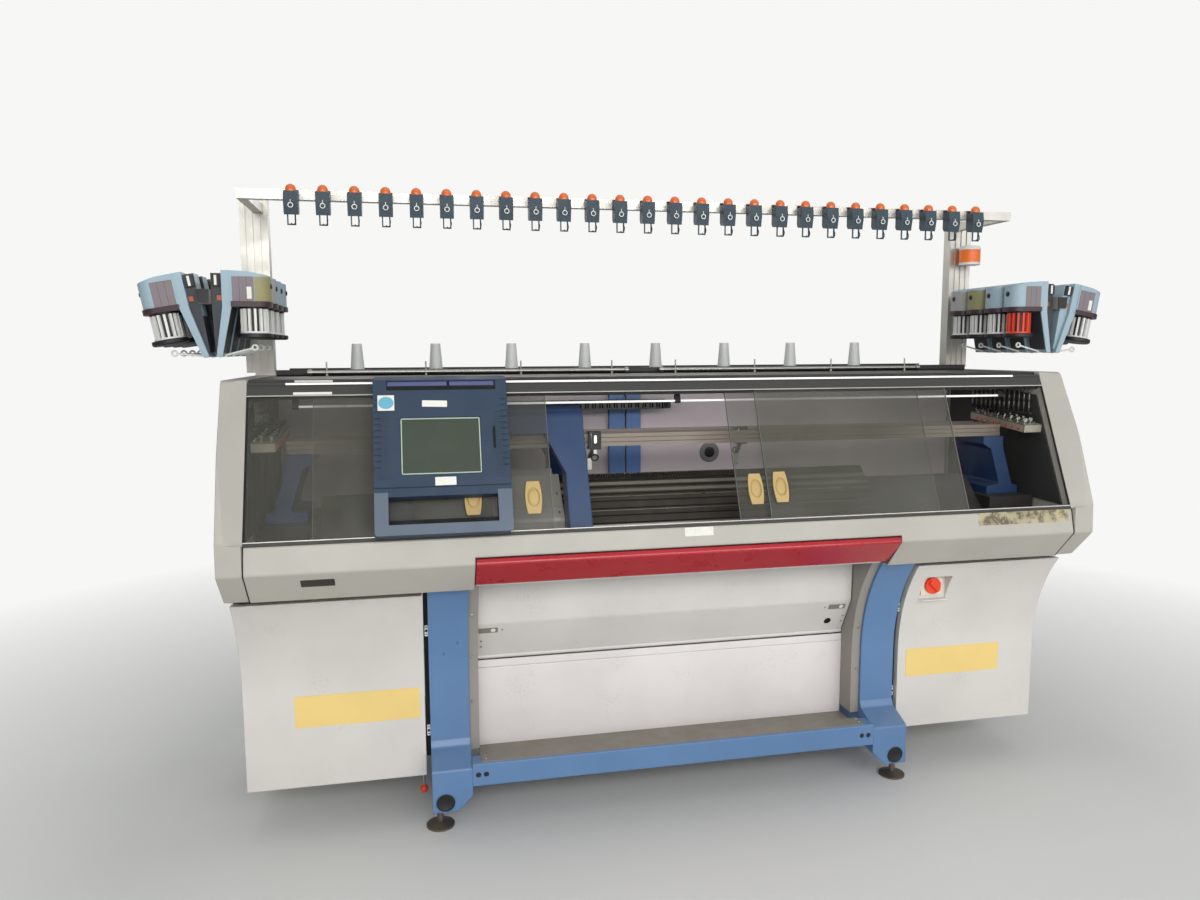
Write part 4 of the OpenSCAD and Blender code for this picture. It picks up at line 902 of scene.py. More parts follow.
def bare_plate(name: str, finish: Finish, slot: str, size: Pair, at: Matrix, body: str = ROOT,
               radius: float = 1.5, low: float = -0.1, high: float = 0.6) -> None:
    """Makes a bare plate or label, which carries no words.

    Args:
        name: The piece's name.
        finish: Its finish.
        slot: The record's material slot.
        size: Width and height.
        at: Its middle, with local Z off the face that it lies on.
        body: The body that it moves with.
        radius: Radius of its corners.
        low: Its back, which may lie in the face.
        high: Its front.
    """
    Shape().prism(rounded_box(*size, radius, 2), low, high, at).make(name, finish, slot, body)


@dataclass
class Labels:
    """Bare plates and label places."""

    name_plates: tuple[tuple[str, str, float, float, float, float], ...] = (
        ("name_plate_left", "door_left", -1192.0, -822.0, 332.0, 430.0),
        ("name_plate_right", "door_right", 838.0, 1200.0, 326.0, 425.0))
    apron_labels: tuple[tuple[str, float, float, float, float, Finish], ...] = (
        ("apron_label_mid", -42.0, 46.0, 917.0, 942.0, LABEL),
        ("apron_label_worn", 930.0, 1258.0, 905.0, 944.0, WORN),
        ("apron_label_left", -1130.0, -1040.0, 822.0, 846.0, ROOF))
    terminal_labels: tuple[tuple[str, Pair, Pair, float], ...] = (
        ("terminal_label_square", (-892.0, 372.0), (46.0, 46.0), 0.0),
        ("terminal_label_code", (-733.0, 139.0), (58.0, 24.0), 0.0),
        ("terminal_label_torn", (-757.0, 368.0), (70.0, 19.0), -2.0))

    def build(self) -> None:
        """Makes each plate and label on its carrier."""
        for name, body, x0, x1, z0, z1 in self.name_plates:
            outline = moved(rounded_box(x1 - x0, z1 - z0, 2.0, 2), (x0 + x1) / 2, 0.0)
            at = facing_front(0.0, 94.0, (z0 + z1) / 2)
            yellow = Shape().prism(outline, 0.0, 1.2, at).soften(0.3, 1)
            yellow.make(name, YELLOW, "cover_paint", body)
        for label in self.apron_labels:
            self.on_apron(*label)
        self.on_terminal()
        for side, x in (("left", -605.0), ("right", 592.0)):
            self.on_flap("flap_label_" + side, x)

    @staticmethod
    def on_apron(name: str, x0: float, x1: float, z0: float, z1: float, finish: Finish) -> None:
        """A thin label on the apron's sloping face, or under its nose where it sits low."""
        upper, nose, lower = (-138.0, 945.5), (-156.0, 868.0), (-74.0, 774.0)
        top, foot = (upper, nose) if z1 > nose[1] else (nose, lower)

        def on_face(z: float) -> float:
            """Depth of the face at a height."""
            return top[0] + (foot[0] - top[0]) * (z - top[1]) / (foot[1] - top[1])

        rise = on_face(z1) - on_face(z0)
        middle = (z0 + z1) / 2
        at = leaning(Vector((0.0, rise, z1 - z0)).normalized(),
                     Vector(((x0 + x1) / 2, on_face(middle), middle)))
        bare_plate(name, finish, "cover_paint", (x1 - x0, math.hypot(z1 - z0, rise)), at)

    def on_terminal(self) -> None:
        """Bare labels on the terminal's face."""
        face = 58.0
        for name, (x, v), size, turn in self.terminal_labels:
            at = WINDOW @ place(x, v, face, "Z", turn)
            bare_plate(name, LABEL, "deep_blue", size, at, "terminal")
        at = (WINDOW @ Matrix.Translation((-892.0, 372.0, face + 0.6))
              @ Matrix.Diagonal((1.0, 0.86, 1.0, 1.0)))
        Shape().prism(disc(21.0, 32), -0.1, 0.4, at).make(
            "terminal_label_round", LABEL_BLUE, "deep_blue", "terminal")

    @staticmethod
    def on_flap(name: str, x: float) -> None:
        """A bare grey label with a plain disc, on the lower half of the flap."""
        at = leaning(FLAP_UP, Vector((x, 0.0, 0.0)) + FLAP_LOW + FLAP_UP * 112.0)
        bare_plate(name, LEDGE, "panel_white", (62.0, 22.0), at, "takedown_cover", 2.0, high=0.5)
        Shape().prism(disc(7.5, 20, (16.0, 0.0)), 0.4, 0.9, at).make(
            name + "_disc", LABEL, "panel_white", "takedown_cover")


def screw_head(radius: float = 4.0, height: float = 2.2) -> Shape:
    """A low domed screw head with a hexagon socket, about the origin, facing local Z."""
    profile = [(0.0, height * 0.35), (radius * 0.42, height * 0.35), (radius * 0.5, height),
               (radius * 0.8, height * 0.9), (radius, height * 0.45), (radius, -0.3)]
    return Shape().turned(profile, steps=12)


@dataclass
class FrameDetails:
    """Plugs, screws and latches of the legs, black strips of painted shade in the door gaps, and
    the liners' bolts.
    """

    plug: Triple = (753.0, 8.0, 92.0)
    beam_plugs: tuple[float, ...] = (-652.0, -628.0, 628.0, 652.0)
    latches: tuple[Pair, ...] = ((-797.0, 614.0), (-797.0, 282.0), (797.0, 583.0), (797.0, 274.0))

    def build(self) -> None:
        """Makes the small pieces of the frame."""
        self.plugs()
        self.gap_shade_strips()
        self.bolts()
        self.stop_ball()

    def plugs(self) -> None:
        """Black plugs with a bright rim in the feet, and small ones in the front beam."""
        black, ring = Shape(), Shape()
        for side in (-1, 1):
            at = facing_front(side * self.plug[0], self.plug[1], self.plug[2])
            black.turned([(0.0, 5.6), (20.0, 5.6), (22.0, 6.8), (26.0, 6.8), (27.6, 5.6),
                          (27.6, 0.2), (0.0, 0.2)], at, 40)
            ring.turned([(27.8, 6.6), (27.8, 7.4), (28.8, 8.3), (31.2, 8.5), (31.8, 8.0),
                         (31.8, 6.6)], at, 40, True)
        for x in self.beam_plugs:
            at = facing_front(x, 5.0, 172.0)
            black.turned([(0.0, 4.6), (5.0, 4.9), (7.4, 4.4), (7.8, 3.4), (7.8, 0.2), (0.0, 0.2)],
                         at, 20)
        black.make("foot_and_beam_plugs", BLACK, "blue_paint")
        ring.make("foot_plug_rings", BLUE, "blue_paint")

    def gap_shade_strips(self) -> None:
        """Black strips that fill the gaps between the legs and the doors as painted shade, with the
        door catches in them.
        """
        gap_shade, catch, pins = Shape(), Shape(), Shape()
        for side in (-1, 1):
            # Painted shade: black strips in the open gaps between the legs and the doors.
            gap_shade.prism(curved_band(LEG_R + 16.0, LEG_R + 24.0, 196.0, 756.0),
                       *span(side, 792.2, 805.6), ALONG_X)
        for x, z in self.latches:
            depth = leg_face(LEG_R + 12.0, z)
            at = facing_front(x, depth + 6.0, z)
            catch.prism(rounded_box(10.5, 34.0, 2.0, 3), 0.0, 9.0, at)
            pins.turned([(0.0, 12.0), (2.6, 12.0), (4.2, 11.0), (4.2, 8.8)], at, 16)
            for v in (-11.0, 11.0):
                pins.prism(moved(rounded_box(8.0, 2.4, 0.8, 2), 0.0, v), 8.8, 9.7, at)
        gap_shade.make("door_seals", GASKET_AND_GAP_SHADE, "blue_paint")
        catch.soften(0.8, 2).make("door_catches", WHITE, "blue_paint")
        pins.make("door_catch_pins", BLACK, "blue_paint")

    @staticmethod
    def bolts() -> None:
        """Screws of the left leg, of the liners and at the ends of the ledge."""
        heads, dark = Shape(), Shape()
        for x, z in ((-703.0, 567.0), (-746.0, 532.0)):
            slope = math.degrees(math.asin((z - BEND_Z) / LEG_R))
            at = facing_front(x, leg_face(LEG_R, z), z)
            heads.repeat(screw_head(5.0, 1.0), BLUE, at=at @ place(0.0, 0.0, 0.0, "X", slope))
        for side in (-1, 1):
            for z in (660.0, 512.0, 364.0):
                at = facing_front(side * 659.0, leg_face(LEG_R + 10.0, z), z)
                dark.repeat(screw_head(5.0, 4.0), BLACK, at=at)
            dark.repeat(screw_head(4.5, 3.0), STEEL, 2, (side * 628.0, 24.0, 211.0),
                        (0.0, 22.0, 0.0))
        heads.make("leg_screws", BLUE, "blue_paint")
        dark.make("liner_screws", STEEL, "steel")

    @staticmethod
    def stop_ball() -> None:
        """Red ball knob on its stem under the left cabinet."""
        at = place(-816.0, 150.0, 56.0)
        middle, radius = 15.0, 13.0
        arc = [(radius * math.sin(math.radians(a)), middle - radius * math.cos(math.radians(a)))
               for a in range(15, 180, 15)]
        ball = [(0.0, middle - radius)] + arc + [(0.0, middle + radius)]
        Shape().turned(ball, at, 24).make("stop_ball", SWITCH_RED, "cover_paint")
        stem = [(0.0, 27.0), (3.6, 27.0), (3.6, 66.0), (7.0, 68.0), (7.0, 87.0), (0.0, 87.0)]
        Shape().turned(stem, at, 16).make("stop_ball_stem", STEEL, "cover_paint")


@dataclass
class WindowDetails:
    """Bright edges of the rails, one of which glows as a painted highlight, black strips of painted
    shade beside the end covers, and the light tube.
    """

    half: float = 1273.0
    tube_half: float = 1150.0

    def build(self) -> None:
        """Makes the trim around the window."""
        sill = Shape().block((-self.half, -2.6, 5.9), (self.half, -0.1, 6.9), WINDOW)
        sill.soften(0.4, 1).make("sill_edge", ALU, "dark_paint")
        # A glowing strip along the top rail: a painted highlight standing for its shiny edge.
        line = Shape().block((-1170.0, 449.6, 5.9), (1170.0, 455.4, 6.8), WINDOW)
        line.make("top_rail_edge", GLOW_OF_TUBE_AND_HIGHLIGHT, "dark_paint")
        low = Shape().block((-self.half, 415.4, 5.9), (self.half, 418.4, 6.8), WINDOW)
        low.make("top_rail_lower_edge", ALU, "dark_paint")
        reach = self.tube_half
        tube = Shape().tube([(-reach, 404.0, -52.0), (reach, 404.0, -52.0)], 3.6, WINDOW, 12)
        tube.make("light_tube", GLOW_OF_TUBE_AND_HIGHLIGHT, "dark_paint")
        holders = Shape()
        for x in (-reach, 0.0, reach):
            holders.block((x - 9.0, 398.0, -58.0), (x + 9.0, 424.0, -46.0), WINDOW)
        holders.soften(2.0, 2).make("light_tube_holders", BLACK, "dark_paint")
        # Black strips beside the end covers: painted shade in the gaps between the covers and the
        # sheets.
        gap_shade = Shape()
        for side in (-1, 1):
            low_x, high_x = span(side, 1268.5, 1273.8)
            gap_shade.block((low_x, 1.0, 2.9), (high_x, 414.0, 6.4), WINDOW)
        gap_shade.make("window_seals", GASKET_AND_GAP_SHADE, "dark_paint")
        self.seams()
        self.labels()

    @staticmethod
    def seams() -> None:
        """Dark lines where the apron meets the end covers."""
        face = [(-138.4, 945.0), (-156.6, 868.0), (-74.4, 773.6)]
        back = [(-134.0, 945.0), (-151.0, 869.0), (-70.0, 778.0)]
        lines = Shape()
        for side in (-1, 1):
            lines.prism(face + list(reversed(back)), *span(side, 1270.6, 1273.9), ALONG_X)
        lines.make("apron_seams", GASKET_AND_GAP_SHADE, "cover_paint")

    @staticmethod
    def labels() -> None:
        """Bare label on the roof's lip and a smaller one on the upper rail."""
        on_rail = WINDOW @ Matrix.Translation((-1096.0, 423.4, 6.0))
        for name, height, at in (("lip_label", 12.0, facing_front(-1096.0, 72.9, 1375.4)),
                                 ("rail_label", 7.5, on_rail)):
            bare_plate(name, LABEL, "dark_paint", (106.0, height), at, radius=1.0, low=-0.2)


@dataclass
class TerminalDetails:
    """What the terminal's face carries: screen rim, ribs, hood strips and handle frame."""

    middle: float = -739.0
    face: float = 58.0
    rib_pitch: float = 7.6
    ribs: int = 26

    def build(self) -> None:
        """Makes the pieces of the face."""
        mid = self.middle
        sides = [moved(rounded_box(*sizes, 4), mid - 3.0, 243.5)
                 for sizes in ((221.5, 164.5, 4.0), (215.0, 158.0, 2.0))]
        rim = Shape().ring_plate(*sides, 51.6, 56.0, WINDOW)
        rim.make("terminal_screen_rim", BEZEL, "deep_blue", "terminal", smooth=False)
        ribs = Shape()
        for x in (-176.0, 148.0):
            ribs.repeat(Shape().block((0.0, 0.0, -0.1), (30.0, 1.6, 0.5)), SLATE_DARK, self.ribs,
                        (mid + x, 150.0, self.face), (0.0, self.rib_pitch, 0.0), WINDOW)
        ribs.make("terminal_ribs", SLATE_DARK, "deep_blue", "terminal", smooth=False)
        slot = Shape().prism(moved(rounded_box(7.0, 62.0, 3.0, 3), mid + 147.0, 262.0),
                             self.face - 0.2, self.face + 0.8, WINDOW)
        slot.make("terminal_card_slot", GASKET_AND_GAP_SHADE, "deep_blue", "terminal")
        strip = Shape().block((mid - 148.0, 425.0, 52.0), (mid + 152.0, 437.0, 53.4), WINDOW)
        strip.soften(0.6, 2).make("terminal_hood_strip", HOOD_STRIP, "deep_blue", "terminal")
        dark = Shape()
        for low, high in (((-150.0, 411.0, 52.0), (156.0, 423.5, 52.8)),
                          ((18.0, 423.6, 53.3), (26.0, 437.4, 54.0)),
                          ((-149.5, 20.5, 20.0), (147.5, 36.0, 40.0))):
            dark.block((mid + low[0], *low[1:]), (mid + high[0], *high[1:]), WINDOW)
        dark.make("terminal_hood_band", GASKET_AND_GAP_SHADE, "deep_blue", "terminal", smooth=False)
        width, top, left, right = 377.0, 111.0, mid - 151.0, mid + 149.0
        outer = moved([p for p in rounded_box(width, 123.0, 10.0, 5) if p[1] < 0.0], mid, 52.0)
        inner = [(right, top), (right, 20.0), (left, 20.0), (left, top)]
        edge = [(mid - width / 2, top)] + outer + [(mid + width / 2, top)]
        frame = Shape().prism(edge + inner, self.face - 0.4, self.face + 0.15, WINDOW)
        frame.make("terminal_handle_frame", GRIP_BLUE, "deep_blue", "terminal", smooth=False)


@dataclass
class KnittingDetails:
    """Pieces inside the window: bed strips, combs, feeder fittings, springs and the wall plug."""

    half: float = 699.0
    comb_pitch: float = 5.6

    def build(self) -> None:
        """Makes the pieces of the knitting head."""
        self.bed_strips()
        self.combs()
        self.wall_plug()
        self.feeder_fittings("yarn_feeder_front", -262.0, 125.0, 108.0)
        self.feeder_fittings("yarn_feeder_rear", 245.0, 175.0, 208.0)
        self.springs()
        self.bench_bits()
        self.carriage_bits()

    @staticmethod
    def on_bed(front: bool) -> Matrix:
        """Frame of a bed: local Y runs down the bed from the apex and local Z stands off it."""
        sign = 1.0 if front else -1.0
        down = Vector((0.0, -sign * math.sqrt(0.5), -math.sqrt(0.5)))
        out = Vector((0.0, -sign * math.sqrt(0.5), math.sqrt(0.5)))
        across = down.cross(out)
        at = Matrix((across, down, out)).transposed().to_4x4()
        at.translation = Vector((0.0, 200.0, 1066.0))
        return at

    def bed_strips(self) -> None:
        """Cover strips and bright edges that run along the needle beds."""
        pale, bright = Shape(), Shape()
        for front in (True, False):
            for strip, near, far, top in ((pale, 41.0, 53.0, 3.0), (pale, 69.5, 80.5, 1.8),
                                          (bright, 96.5, 98.5, 1.5), (bright, 206.5, 212.0, 3.4),
                                          (bright, 150.5, 152.0, 1.2)):
                strip.block((-self.half, near, 0.1), (self.half, far, top), self.on_bed(front))
        pale.soften(0.5, 1).make("bed_cover_strips", BED_STRIP, "steel")
        bright.soften(0.4, 1).make("bed_bright_edges", STEEL, "steel")

    def combs(self) -> None:
        """Combs of fine teeth on both sides of the needle gap."""
        count = int(2 * self.half / self.comb_pitch)
        teeth = Shape()
        for front in (True, False):
            teeth.repeat(Shape().block((0.0, 6.0, 0.05), (1.6, 26.0, 1.6)), STEEL, count,
                         (-self.half, 0.0, 0.0), (self.comb_pitch, 0.0, 0.0), self.on_bed(front))
        teeth.make("needle_combs", STEEL, "steel", smooth=False)

    @staticmethod
    def wall_plug() -> None:
        """Grey ring and black plug in the rear liner."""
        at = facing_front(272.0, 560.0, 1080.0)
        ring = Shape().turned([(19.8, -1.0), (20.2, 2.6), (34.0, 3.4), (38.0, 2.2), (38.0, -0.2)],
                              at, 48, True)
        ring.make("wall_plug_ring", INSIDE, "cover_paint")
        plug = Shape().turned([(0.0, 0.6), (8.0, 0.8), (9.0, 2.8), (17.0, 3.2), (19.6, 2.0),
                               (19.6, -2.5), (0.0, -2.5)], at, 40)
        plug.make("wall_plug", BLACK, "cover_paint")

    @staticmethod
    def feeder_fittings(body: str, x: float, y: float, eye_y: float) -> None:
        """Cheek, clip, connector and eyelet of one yarn feeder, the last two at their own depth."""
        front = y - 14.0
        cheeks = Shape().prism(rounded_box(40.0, 58.0, 4.0, 4), 0.05, 7.0,
                               facing_front(x, front, 1182.0))
        cheeks.soften(1.0, 2).make(body + "_cheek", BOX_DARK, "steel", body)
        clip = Shape().prism(rounded_box(9.0, 26.0, 4.0, 5), 6.9, 9.5,
                             facing_front(x + 1.0, front, 1186.0))
        clip.tube([(x - 13.0, front - 7.5, 1206.0), (x - 13.0, front - 10.0, 1198.0),
                   (x - 13.0, front - 7.5, 1160.0)], 1.2)
        clip.soften(0.6, 2).make(body + "_clip", CHROME, "steel", body)
        white = Shape().block((x - 4.0, eye_y - 3.0, 1140.0), (x + 6.0, eye_y + 5.0, 1153.5))
        white.soften(0.8, 2).make(body + "_connector", WHITE, "steel", body)
        eye = Shape().tube(hoop((x, eye_y, 1128.0), 11.0, 9.0, 24), 2.6, closed=True)
        eye.tube([(x + 2.0, eye_y, 1136.0), (x + 1.0, eye_y, 1142.0)], 1.6)
        eye.make(body + "_eyelet", BLACK, "steel", body)

    @staticmethod
    def springs() -> None:
        """Coils on the tension rods at both ends."""
        turns, tall, radius, steps = 16, 64.0, 3.3, 8
        path = [(radius * math.cos(math.tau * i / steps), radius * math.sin(math.tau * i / steps),
                 tall * i / (turns * steps)) for i in range(turns * steps + 1)]
        both = Shape()
        for side in (-1, 1):
            both.repeat(Shape().tube(path, 0.8, steps=4), STEEL, 13, step=(0.0, 312.0 / 12.0, 0.0),
                        at=Matrix.Translation((side * 1261.0, 76.0, 1254.0)))
        both.make("tension_springs", STEEL, "steel")

    @staticmethod
    def bench_bits() -> None:
        """Small guides, green and red parts on the tension benches."""
        tilted = place(1268.0, 16.0, 1180.0, "X", 5.0)
        plates = Shape()
        for side in (-1, 1):
            for low, high in (((-68.6, 2.0, 2.0), (-67.9, 294.0, 26.0)),
                              ((-67.0, 1.0, 27.9), (-2.0, 295.0, 28.5)),
                              ((-67.0, -0.6, 2.0), (-2.0, 0.1, 26.0))):
                plates.block(low, high, flipped(side) @ tilted)
        plates.make("bench_plates", BENCH, "dark_paint", smooth=False)
        kinds = (("bench_green", GREEN_BIT, (-22.0, 20.0, 28.0), (9.0, 9.0, 6.0)),
                 ("bench_white", WHITE, (-12.0, 30.0, 28.0), (8.0, 16.0, 4.0)),
                 ("bench_red", SWITCH_RED, (-70.5, 22.0, 6.0), (3.0, 8.0, 8.0)))
        for name, finish, first, size in kinds:
            bits = Shape()
            for side in (-1, 1):
                bits.repeat(Shape().block((0.0, 0.0, 0.0), size).soften(1.0, 2), finish, 8, first,
                            (0.0, 33.0, 0.0), flipped(side) @ tilted)
            bits.make(name, finish, "dark_paint")

    @staticmethod
    def carriage_bits() -> None:
        """Screws and groove on the front cam box; local X of the front bed runs to the left."""
        at = KnittingDetails.on_bed(True)
        heads = Shape()
        for x, s in ((390.0, 120.0), (810.0, 120.0), (390.0, 190.0), (810.0, 190.0)):
            heads.repeat(screw_head(4.0, 2.4), STEEL, start=(x, s, 60.0), at=at)
        heads.make("cam_box_screws", STEEL, "steel", "carriage")
        groove = Shape().block((377.0, 168.0, 59.8), (823.0, 169.2, 60.3), at)
        groove.make("cam_box_line", LEDGE, "cover_paint", "carriage", smooth=False)


@dataclass
class TakeDownDetails:
    """Screws and the lock hole of the flap."""

    def build(self) -> None:
        """Makes the flap's small pieces."""
        at = leaning(FLAP_UP, FLAP_LOW)
        heads = Shape()
        for x, s in ((-626.0, 40.0), (-626.0, 66.0), (626.0, 40.0), (626.0, 66.0),
                     (-560.0, 112.0), (548.0, 112.0)):
            heads.repeat(screw_head(3.6, 1.6), STEEL, start=(x, s, 0.0), at=at)
        heads.make("flap_screws", STEEL, "panel_white", "takedown_cover")
        hole = at @ Matrix.Translation((574.0, 45.0, 0.0))
        rim = Shape().turned([(8.0, -2.0), (8.5, 0.5), (11.6, 0.9), (12.6, 0.2), (12.6, -0.5)],
                             hole, 32, True)
        rim.turned([(0.0, -2.4), (8.4, -2.4), (8.4, -1.8)], hole, 32)
        rim.make("flap_lock_hole", GASKET_AND_GAP_SHADE, "panel_white", "takedown_cover")


@dataclass
class StorageBank:
    """Pieces of the storage feeders: panels, rims, drums, arms, cores and small parts."""

    side: int
    seat_z: float = 1600.0
    pitch: float = 104.0
    axis: float = 108.5
    rows: int = 4
    ribs: int = 14
    tag: str = field(init=False)
    units: list[tuple[str, Matrix]] = field(default_factory=list)

    def __post_init__(self) -> None:
        """Works out where each unit stands and what body its wheel rides on."""
        self.tag = "left" if self.side < 0 else "right"
        for k in range(self.rows):
            y = 150.0 + k * self.pitch
            inner = flipped(self.side) @ place(1370.0, y, self.seat_z) @ flipped(-1.0)
            outer = flipped(self.side) @ place(1400.0, y, self.seat_z, "Y", 10.0)
            wheel = "feeder_wheel_" + self.tag if k == 0 else ROOT
            self.units += [(wheel, inner), (ROOT, outer)]

    def build(self) -> None:
        """Makes the pieces of one bank."""
        self.housings()
        self.holders()
        self.wheels()

    @staticmethod
    def outline(grow: float) -> list[Pair]:
        """Plan of the housing, as in the solids, grown by a little."""
        far = 156.5 + grow
        points = [(54.0, -44.0 - grow)]
        for start in (-90, 0):
            for i in range(9):
                a = math.radians(start + 90 * i / 8)
                cy = -6.0 - grow if start < 0 else 6.0 + grow
                points.append((far - 38.0 + 38.0 * math.cos(a), cy + 38.0 * math.sin(a)))
        return points + [(54.0, 44.0 + grow)]

    def housings(self) -> None:
        """Panels, labels, end caps, knobs and the dark rim of each housing."""
        panels, lines, labels, knobs, rims, olive, grey = (Shape() for _ in range(7))
        first_cap, second_cap = (0, 1) if self.side < 0 else (2, 3)
        for i, (_, at) in enumerate(self.units):
            k = i // 2
            for sign in (-1, 1):
                face = at @ flank(sign, 44.0)
                for n in range(3):
                    x = 59.0 + 19.6 * n
                    panels.block((x, 3.0, -0.2), (x + 18.9, 76.0, 0.6), face)
                lines.block((58.6, 2.6, -0.2), (117.4, 76.4, 0.25), face)
            if k == 0:
                front = at @ flank(-1.0, 44.0)
                if i == (0 if self.side < 0 else 1):
                    labels.block((98.0, 14.0, 0.5), (111.0, 48.0, 1.0), front)
                panels.block((62.0, 14.0, 0.5), (76.0, 32.0, 1.1), front)
            rims.prism(self.outline(3.3), -8.1, 7.0, at)
            knobs.turned([(9.0, 0.0), (9.0, 1.6), (6.0, 2.8), (6.0, 4.2), (0.0, 4.2)],
                         at @ place(156.0, 0.0, 52.0, "Y", 90.0), 20)
            if i % 2 == 0 and k in (first_cap, second_cap):
                cap = [p for p in self.outline(0.5) if p[0] > 118.0]
                back = [(x - 1.2 if x > 130 else x, y * 0.97) for x, y in cap]
                (olive if k == first_cap else grey).prism(cap + list(reversed(back)), 1.0, 76.5, at)
        self.finish((("panels", panels, FACE, False), ("panel_lines", lines, GASKET_AND_GAP_SHADE, False),
                     ("labels", labels, LABEL, False), ("knobs", knobs, BLACK, True),
                     ("rims", rims, MAROON, True), ("caps_olive", olive, OLIVE, True),
                     ("caps_grey", grey, BODY_GREY, True)))

    def finish(self, rows: Sequence[tuple[str, Shape, Finish, bool]]) -> None:
        """Makes named shapes of the bank, each with its finish, smooth or not."""
        for name, shape, finish, smooth in rows:
            shape.make("feeder_%s_%s" % (name, self.tag), finish, "light_blue", smooth=smooth)

    def holders(self) -> None:
        """Cores, connectors, marks, arms and eyelets of each holder, and the bar's end cap."""
        cores, pale, boxes, marks, strips, arms = (Shape() for _ in range(6))
        for i, (_, at) in enumerate(self.units):
            section = at @ flank(-1.0)
            # The dark cores are painted shade, shaded copies of the feeder blue; only the right
            # bank's outer cores keep the blue.
            core = pale if self.side > 0 and i % 2 else cores
            core.prism([(0.05, 86.4), (0.05, -10.0), (4.8, -138.4), (15.6, -138.4), (29.6, -10.0),
                        (29.6, 86.4)], -30.4, 30.4, section)
            cores.prism([(52.0, -9.6), (54.6, -9.6), (26.7, -140.0), (24.0, -140.0)],
                        -38.0, 38.0, section)
            boxes.block((3.0, 50.0, 30.2), (27.0, 82.0, 40.0), section)
            strips.block((11.0, 52.0, 39.9), (18.0, 80.0, 40.6), section)
            marks.block((15.0, 10.0, 30.3), (27.0, 24.0, 31.2), section)
            arms.tube([(20.0, 0.0, -147.0), (58.0, 0.0, -137.0), (97.0, 0.0, -126.6)], 3.1, at, 10)
            arms.tube(hoop((106.0, 0.0, -124.0), 7.3, 7.3, 20), 3.0, at, closed=True)
            arms.prism([(14.0, -7.0), (30.0, -5.0), (30.0, 5.0), (14.0, 7.0)], -150.6, -143.0, at)
        section = [(1370.4, 1600.4), (1399.6, 1600.4), (1406.5, 1639.6), (1370.4, 1639.6)]
        cap = Shape().prism(section, -95.2, -92.0, flipped(self.side) @ flank(-1.0))
        cap.soften(0.8, 2).make("feeder_bar_cap_" + self.tag, BLACK, "dark_paint")
        if self.side > 0:
            self.finish((("pale_cores", pale, SKY, False),))
        self.finish((("cores", cores, CORE_PAINTED_SHADE, False),
                     ("connectors", boxes.soften(1.6, 2), BLACK, True),
                     ("connector_labels", strips, LABEL, False),
                     ("marks", marks.soften(0.3, 1), MARK, True), ("arms", arms, WHITE, True)))

    def wheels(self) -> None:
        """Black discs, dark sleeves, ribs and base rings of the wheels, by body."""
        for body in sorted({wheel for wheel, _ in self.units}):
            discs, ribs = Shape(), Shape()
            for wheel, at in self.units:
                if wheel != body:
                    continue
                hub = at @ Matrix.Translation((self.axis, 0.0, 0.0))
                discs.turned([(0.0, -98.0), (45.0, -98.0), (49.3, -94.5), (49.3, -86.0),
                              (47.5, -83.7), (31.0, -83.7), (31.0, -13.6), (38.4, -13.2),
                              (39.0, -12.4), (39.0, -8.2), (5.0, -8.2), (5.0, 16.0), (0.0, 16.0)],
                             hub, 40)
                for n in range(self.ribs):
                    turn = hub @ Matrix.Rotation(math.tau * n / self.ribs, 4, "Z")
                    path = [(30.4, -3.6), (38.6, -3.2), (38.6, 3.2), (30.4, 3.6)]
                    ribs.prism(path, -79.0, -13.4, turn)
                ribs.turned([(30.4, -83.6), (40.0, -83.6), (40.4, -82.0), (39.6, -78.0),
                             (30.4, -77.0)], hub, 36)
            name = body if body != ROOT else "feeder_wheels_" + self.tag
            core = discs.make(name + "_discs", BLACK, "white_plastic", body)
            paint = DRUM_RED if body == "feeder_wheel_right" else WHITE
            rim = ribs.make(name + "_ribs", paint, "white_plastic", body, smooth=False)
            for thing in (core, rim):
                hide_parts(body if body != ROOT else "feeder_wheels")


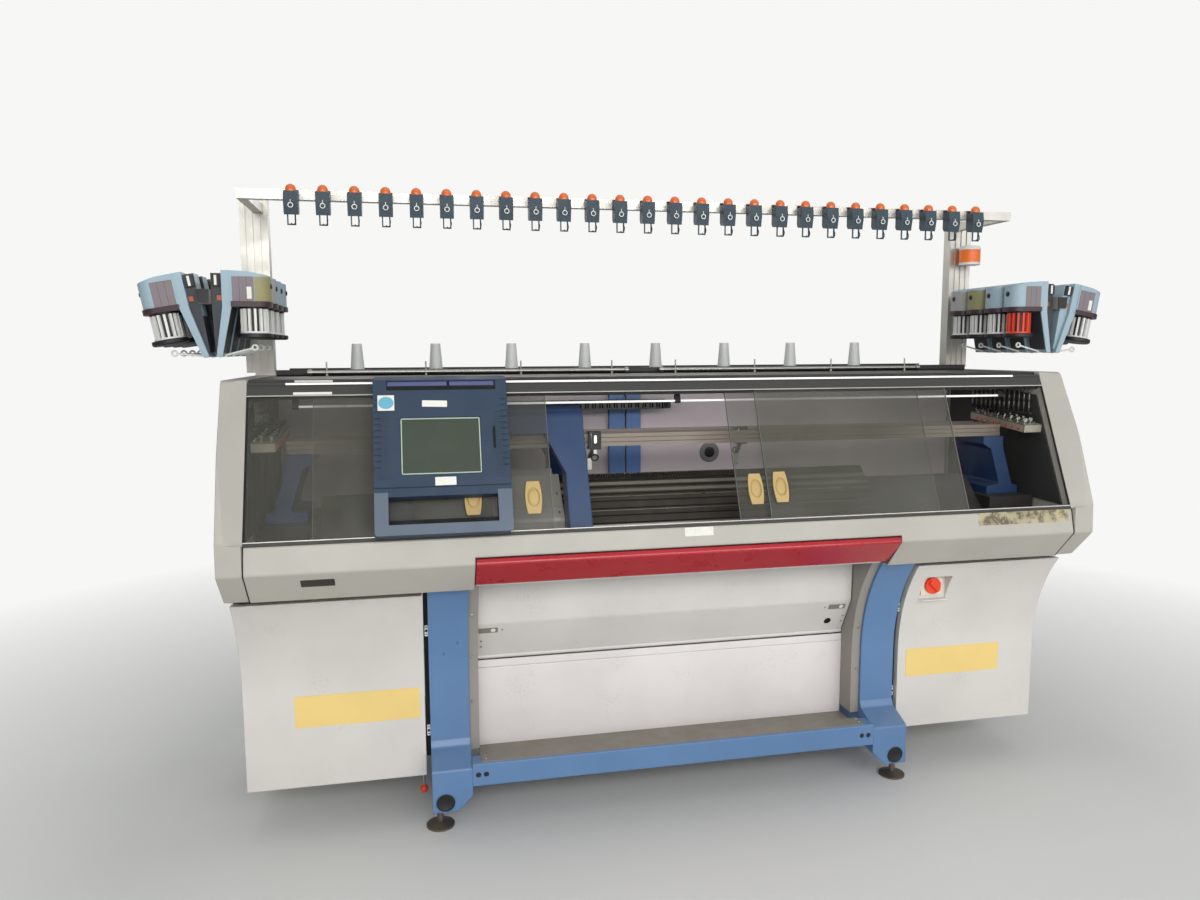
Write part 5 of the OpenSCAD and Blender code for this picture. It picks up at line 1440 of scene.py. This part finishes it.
@dataclass
class YarnTopDetails:
    """Eyelets and hooks of the yarn control units, and the beacon's pale parts."""

    count: int = 26
    pitch: float = 93.0

    def build(self) -> None:
        """Makes the small pieces over the machine."""
        first = -(self.count - 1) / 2 * self.pitch
        ring = Shape().tube(hoop((0.0, 0.0, 0.0), 7.0, 7.0, 16), 1.7, steps=6, closed=True)
        ring.tube([(0.0, 0.0, 7.0), (0.0, 1.5, 17.0)], 1.3, steps=6)
        hook = Shape().tube([(10.0, 6.0, 4.0), (13.0, 0.0, -12.0), (11.0, -2.0, -22.0),
                             (5.0, -2.0, -27.0), (-1.0, -2.0, -22.0)], 1.5, steps=6)
        for name, item, finish, y, z in (("control_eyelets", ring, WHITE, 256.5, 1902.0),
                                         ("control_hooks", hook, BLACK, 268.0, 1872.0)):
            row = Shape().repeat(item, finish, self.count, (first, y, z), (self.pitch, 0.0, 0.0))
            row.make(name, finish, "teal_plastic")
        at = place(1335.0, 553.0, 1790.0)
        pale = Shape().turned([(0.0, -0.2), (39.4, 0.0), (39.6, 9.0), (36.0, 10.0)], at, 40)
        pale.turned([(39.4, 58.0), (39.6, 63.0), (34.4, 72.4), (12.0, 74.0), (0.0, 74.0)], at, 40)
        pale.make("beacon_caps", WHITE, "orange")
        ridges = Shape()
        for n in range(4):
            z = 18.0 + n * 10.0
            ridges.turned([(39.1, z), (39.5, z + 1.5), (39.5, z + 3.5), (39.1, z + 5.0)], at, 40)
        ridges.make("beacon_ridges", ORANGE, "orange")


@dataclass
class SwitchDetails:
    """Cream plate of the main switch and the bright lip under it."""

    centre: Triple = (903.0, 56.0, 660.0)

    def build(self) -> None:
        """Makes the plate and the lip on the right door."""
        at = facing_front(self.centre[0], self.centre[1], self.centre[2] + 1.0)
        plate = Shape().ring_plate(rounded_box(79.0, 69.0, 5.0, 9), disc(29.6, 40), -0.2, 1.6, at)
        plate.make("switch_plate", CREAM, "cover_paint", "door_right", smooth=False)
        lip = Shape().block((858.5, 38.0, 611.0), (955.5, 61.5, 613.5))
        lip.soften(0.8, 2).make("switch_pocket_lip", LABEL, "cover_paint", "door_right")


def main() -> None:
    """Builds the dressed machine in order."""
    logging.basicConfig(level=logging.INFO, format="%(name)s %(message)s")
    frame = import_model()
    Studio().build()
    paint_cad(frame["nodes"])
    covers = (SlidingCover("cover_left_end", -1270.0, -657.0, -3.0),
              SlidingCover("cover_left_mid", -1097.0, -482.0, -17.0),
              SlidingCover("cover_right_mid", 143.0, 203.0, -17.0),
              SlidingCover("cover_right_end", 237.0, 279.0, -3.0))
    for cover in covers:
        cover.build()
    Labels().build()
    for part in (FrameDetails(), WindowDetails(), TerminalDetails(), KnittingDetails(),
                 TakeDownDetails(), StorageBank(-1), StorageBank(1), YarnTopDetails(),
                 SwitchDetails()):
        part.build()


if __name__ == "__main__":
    main()
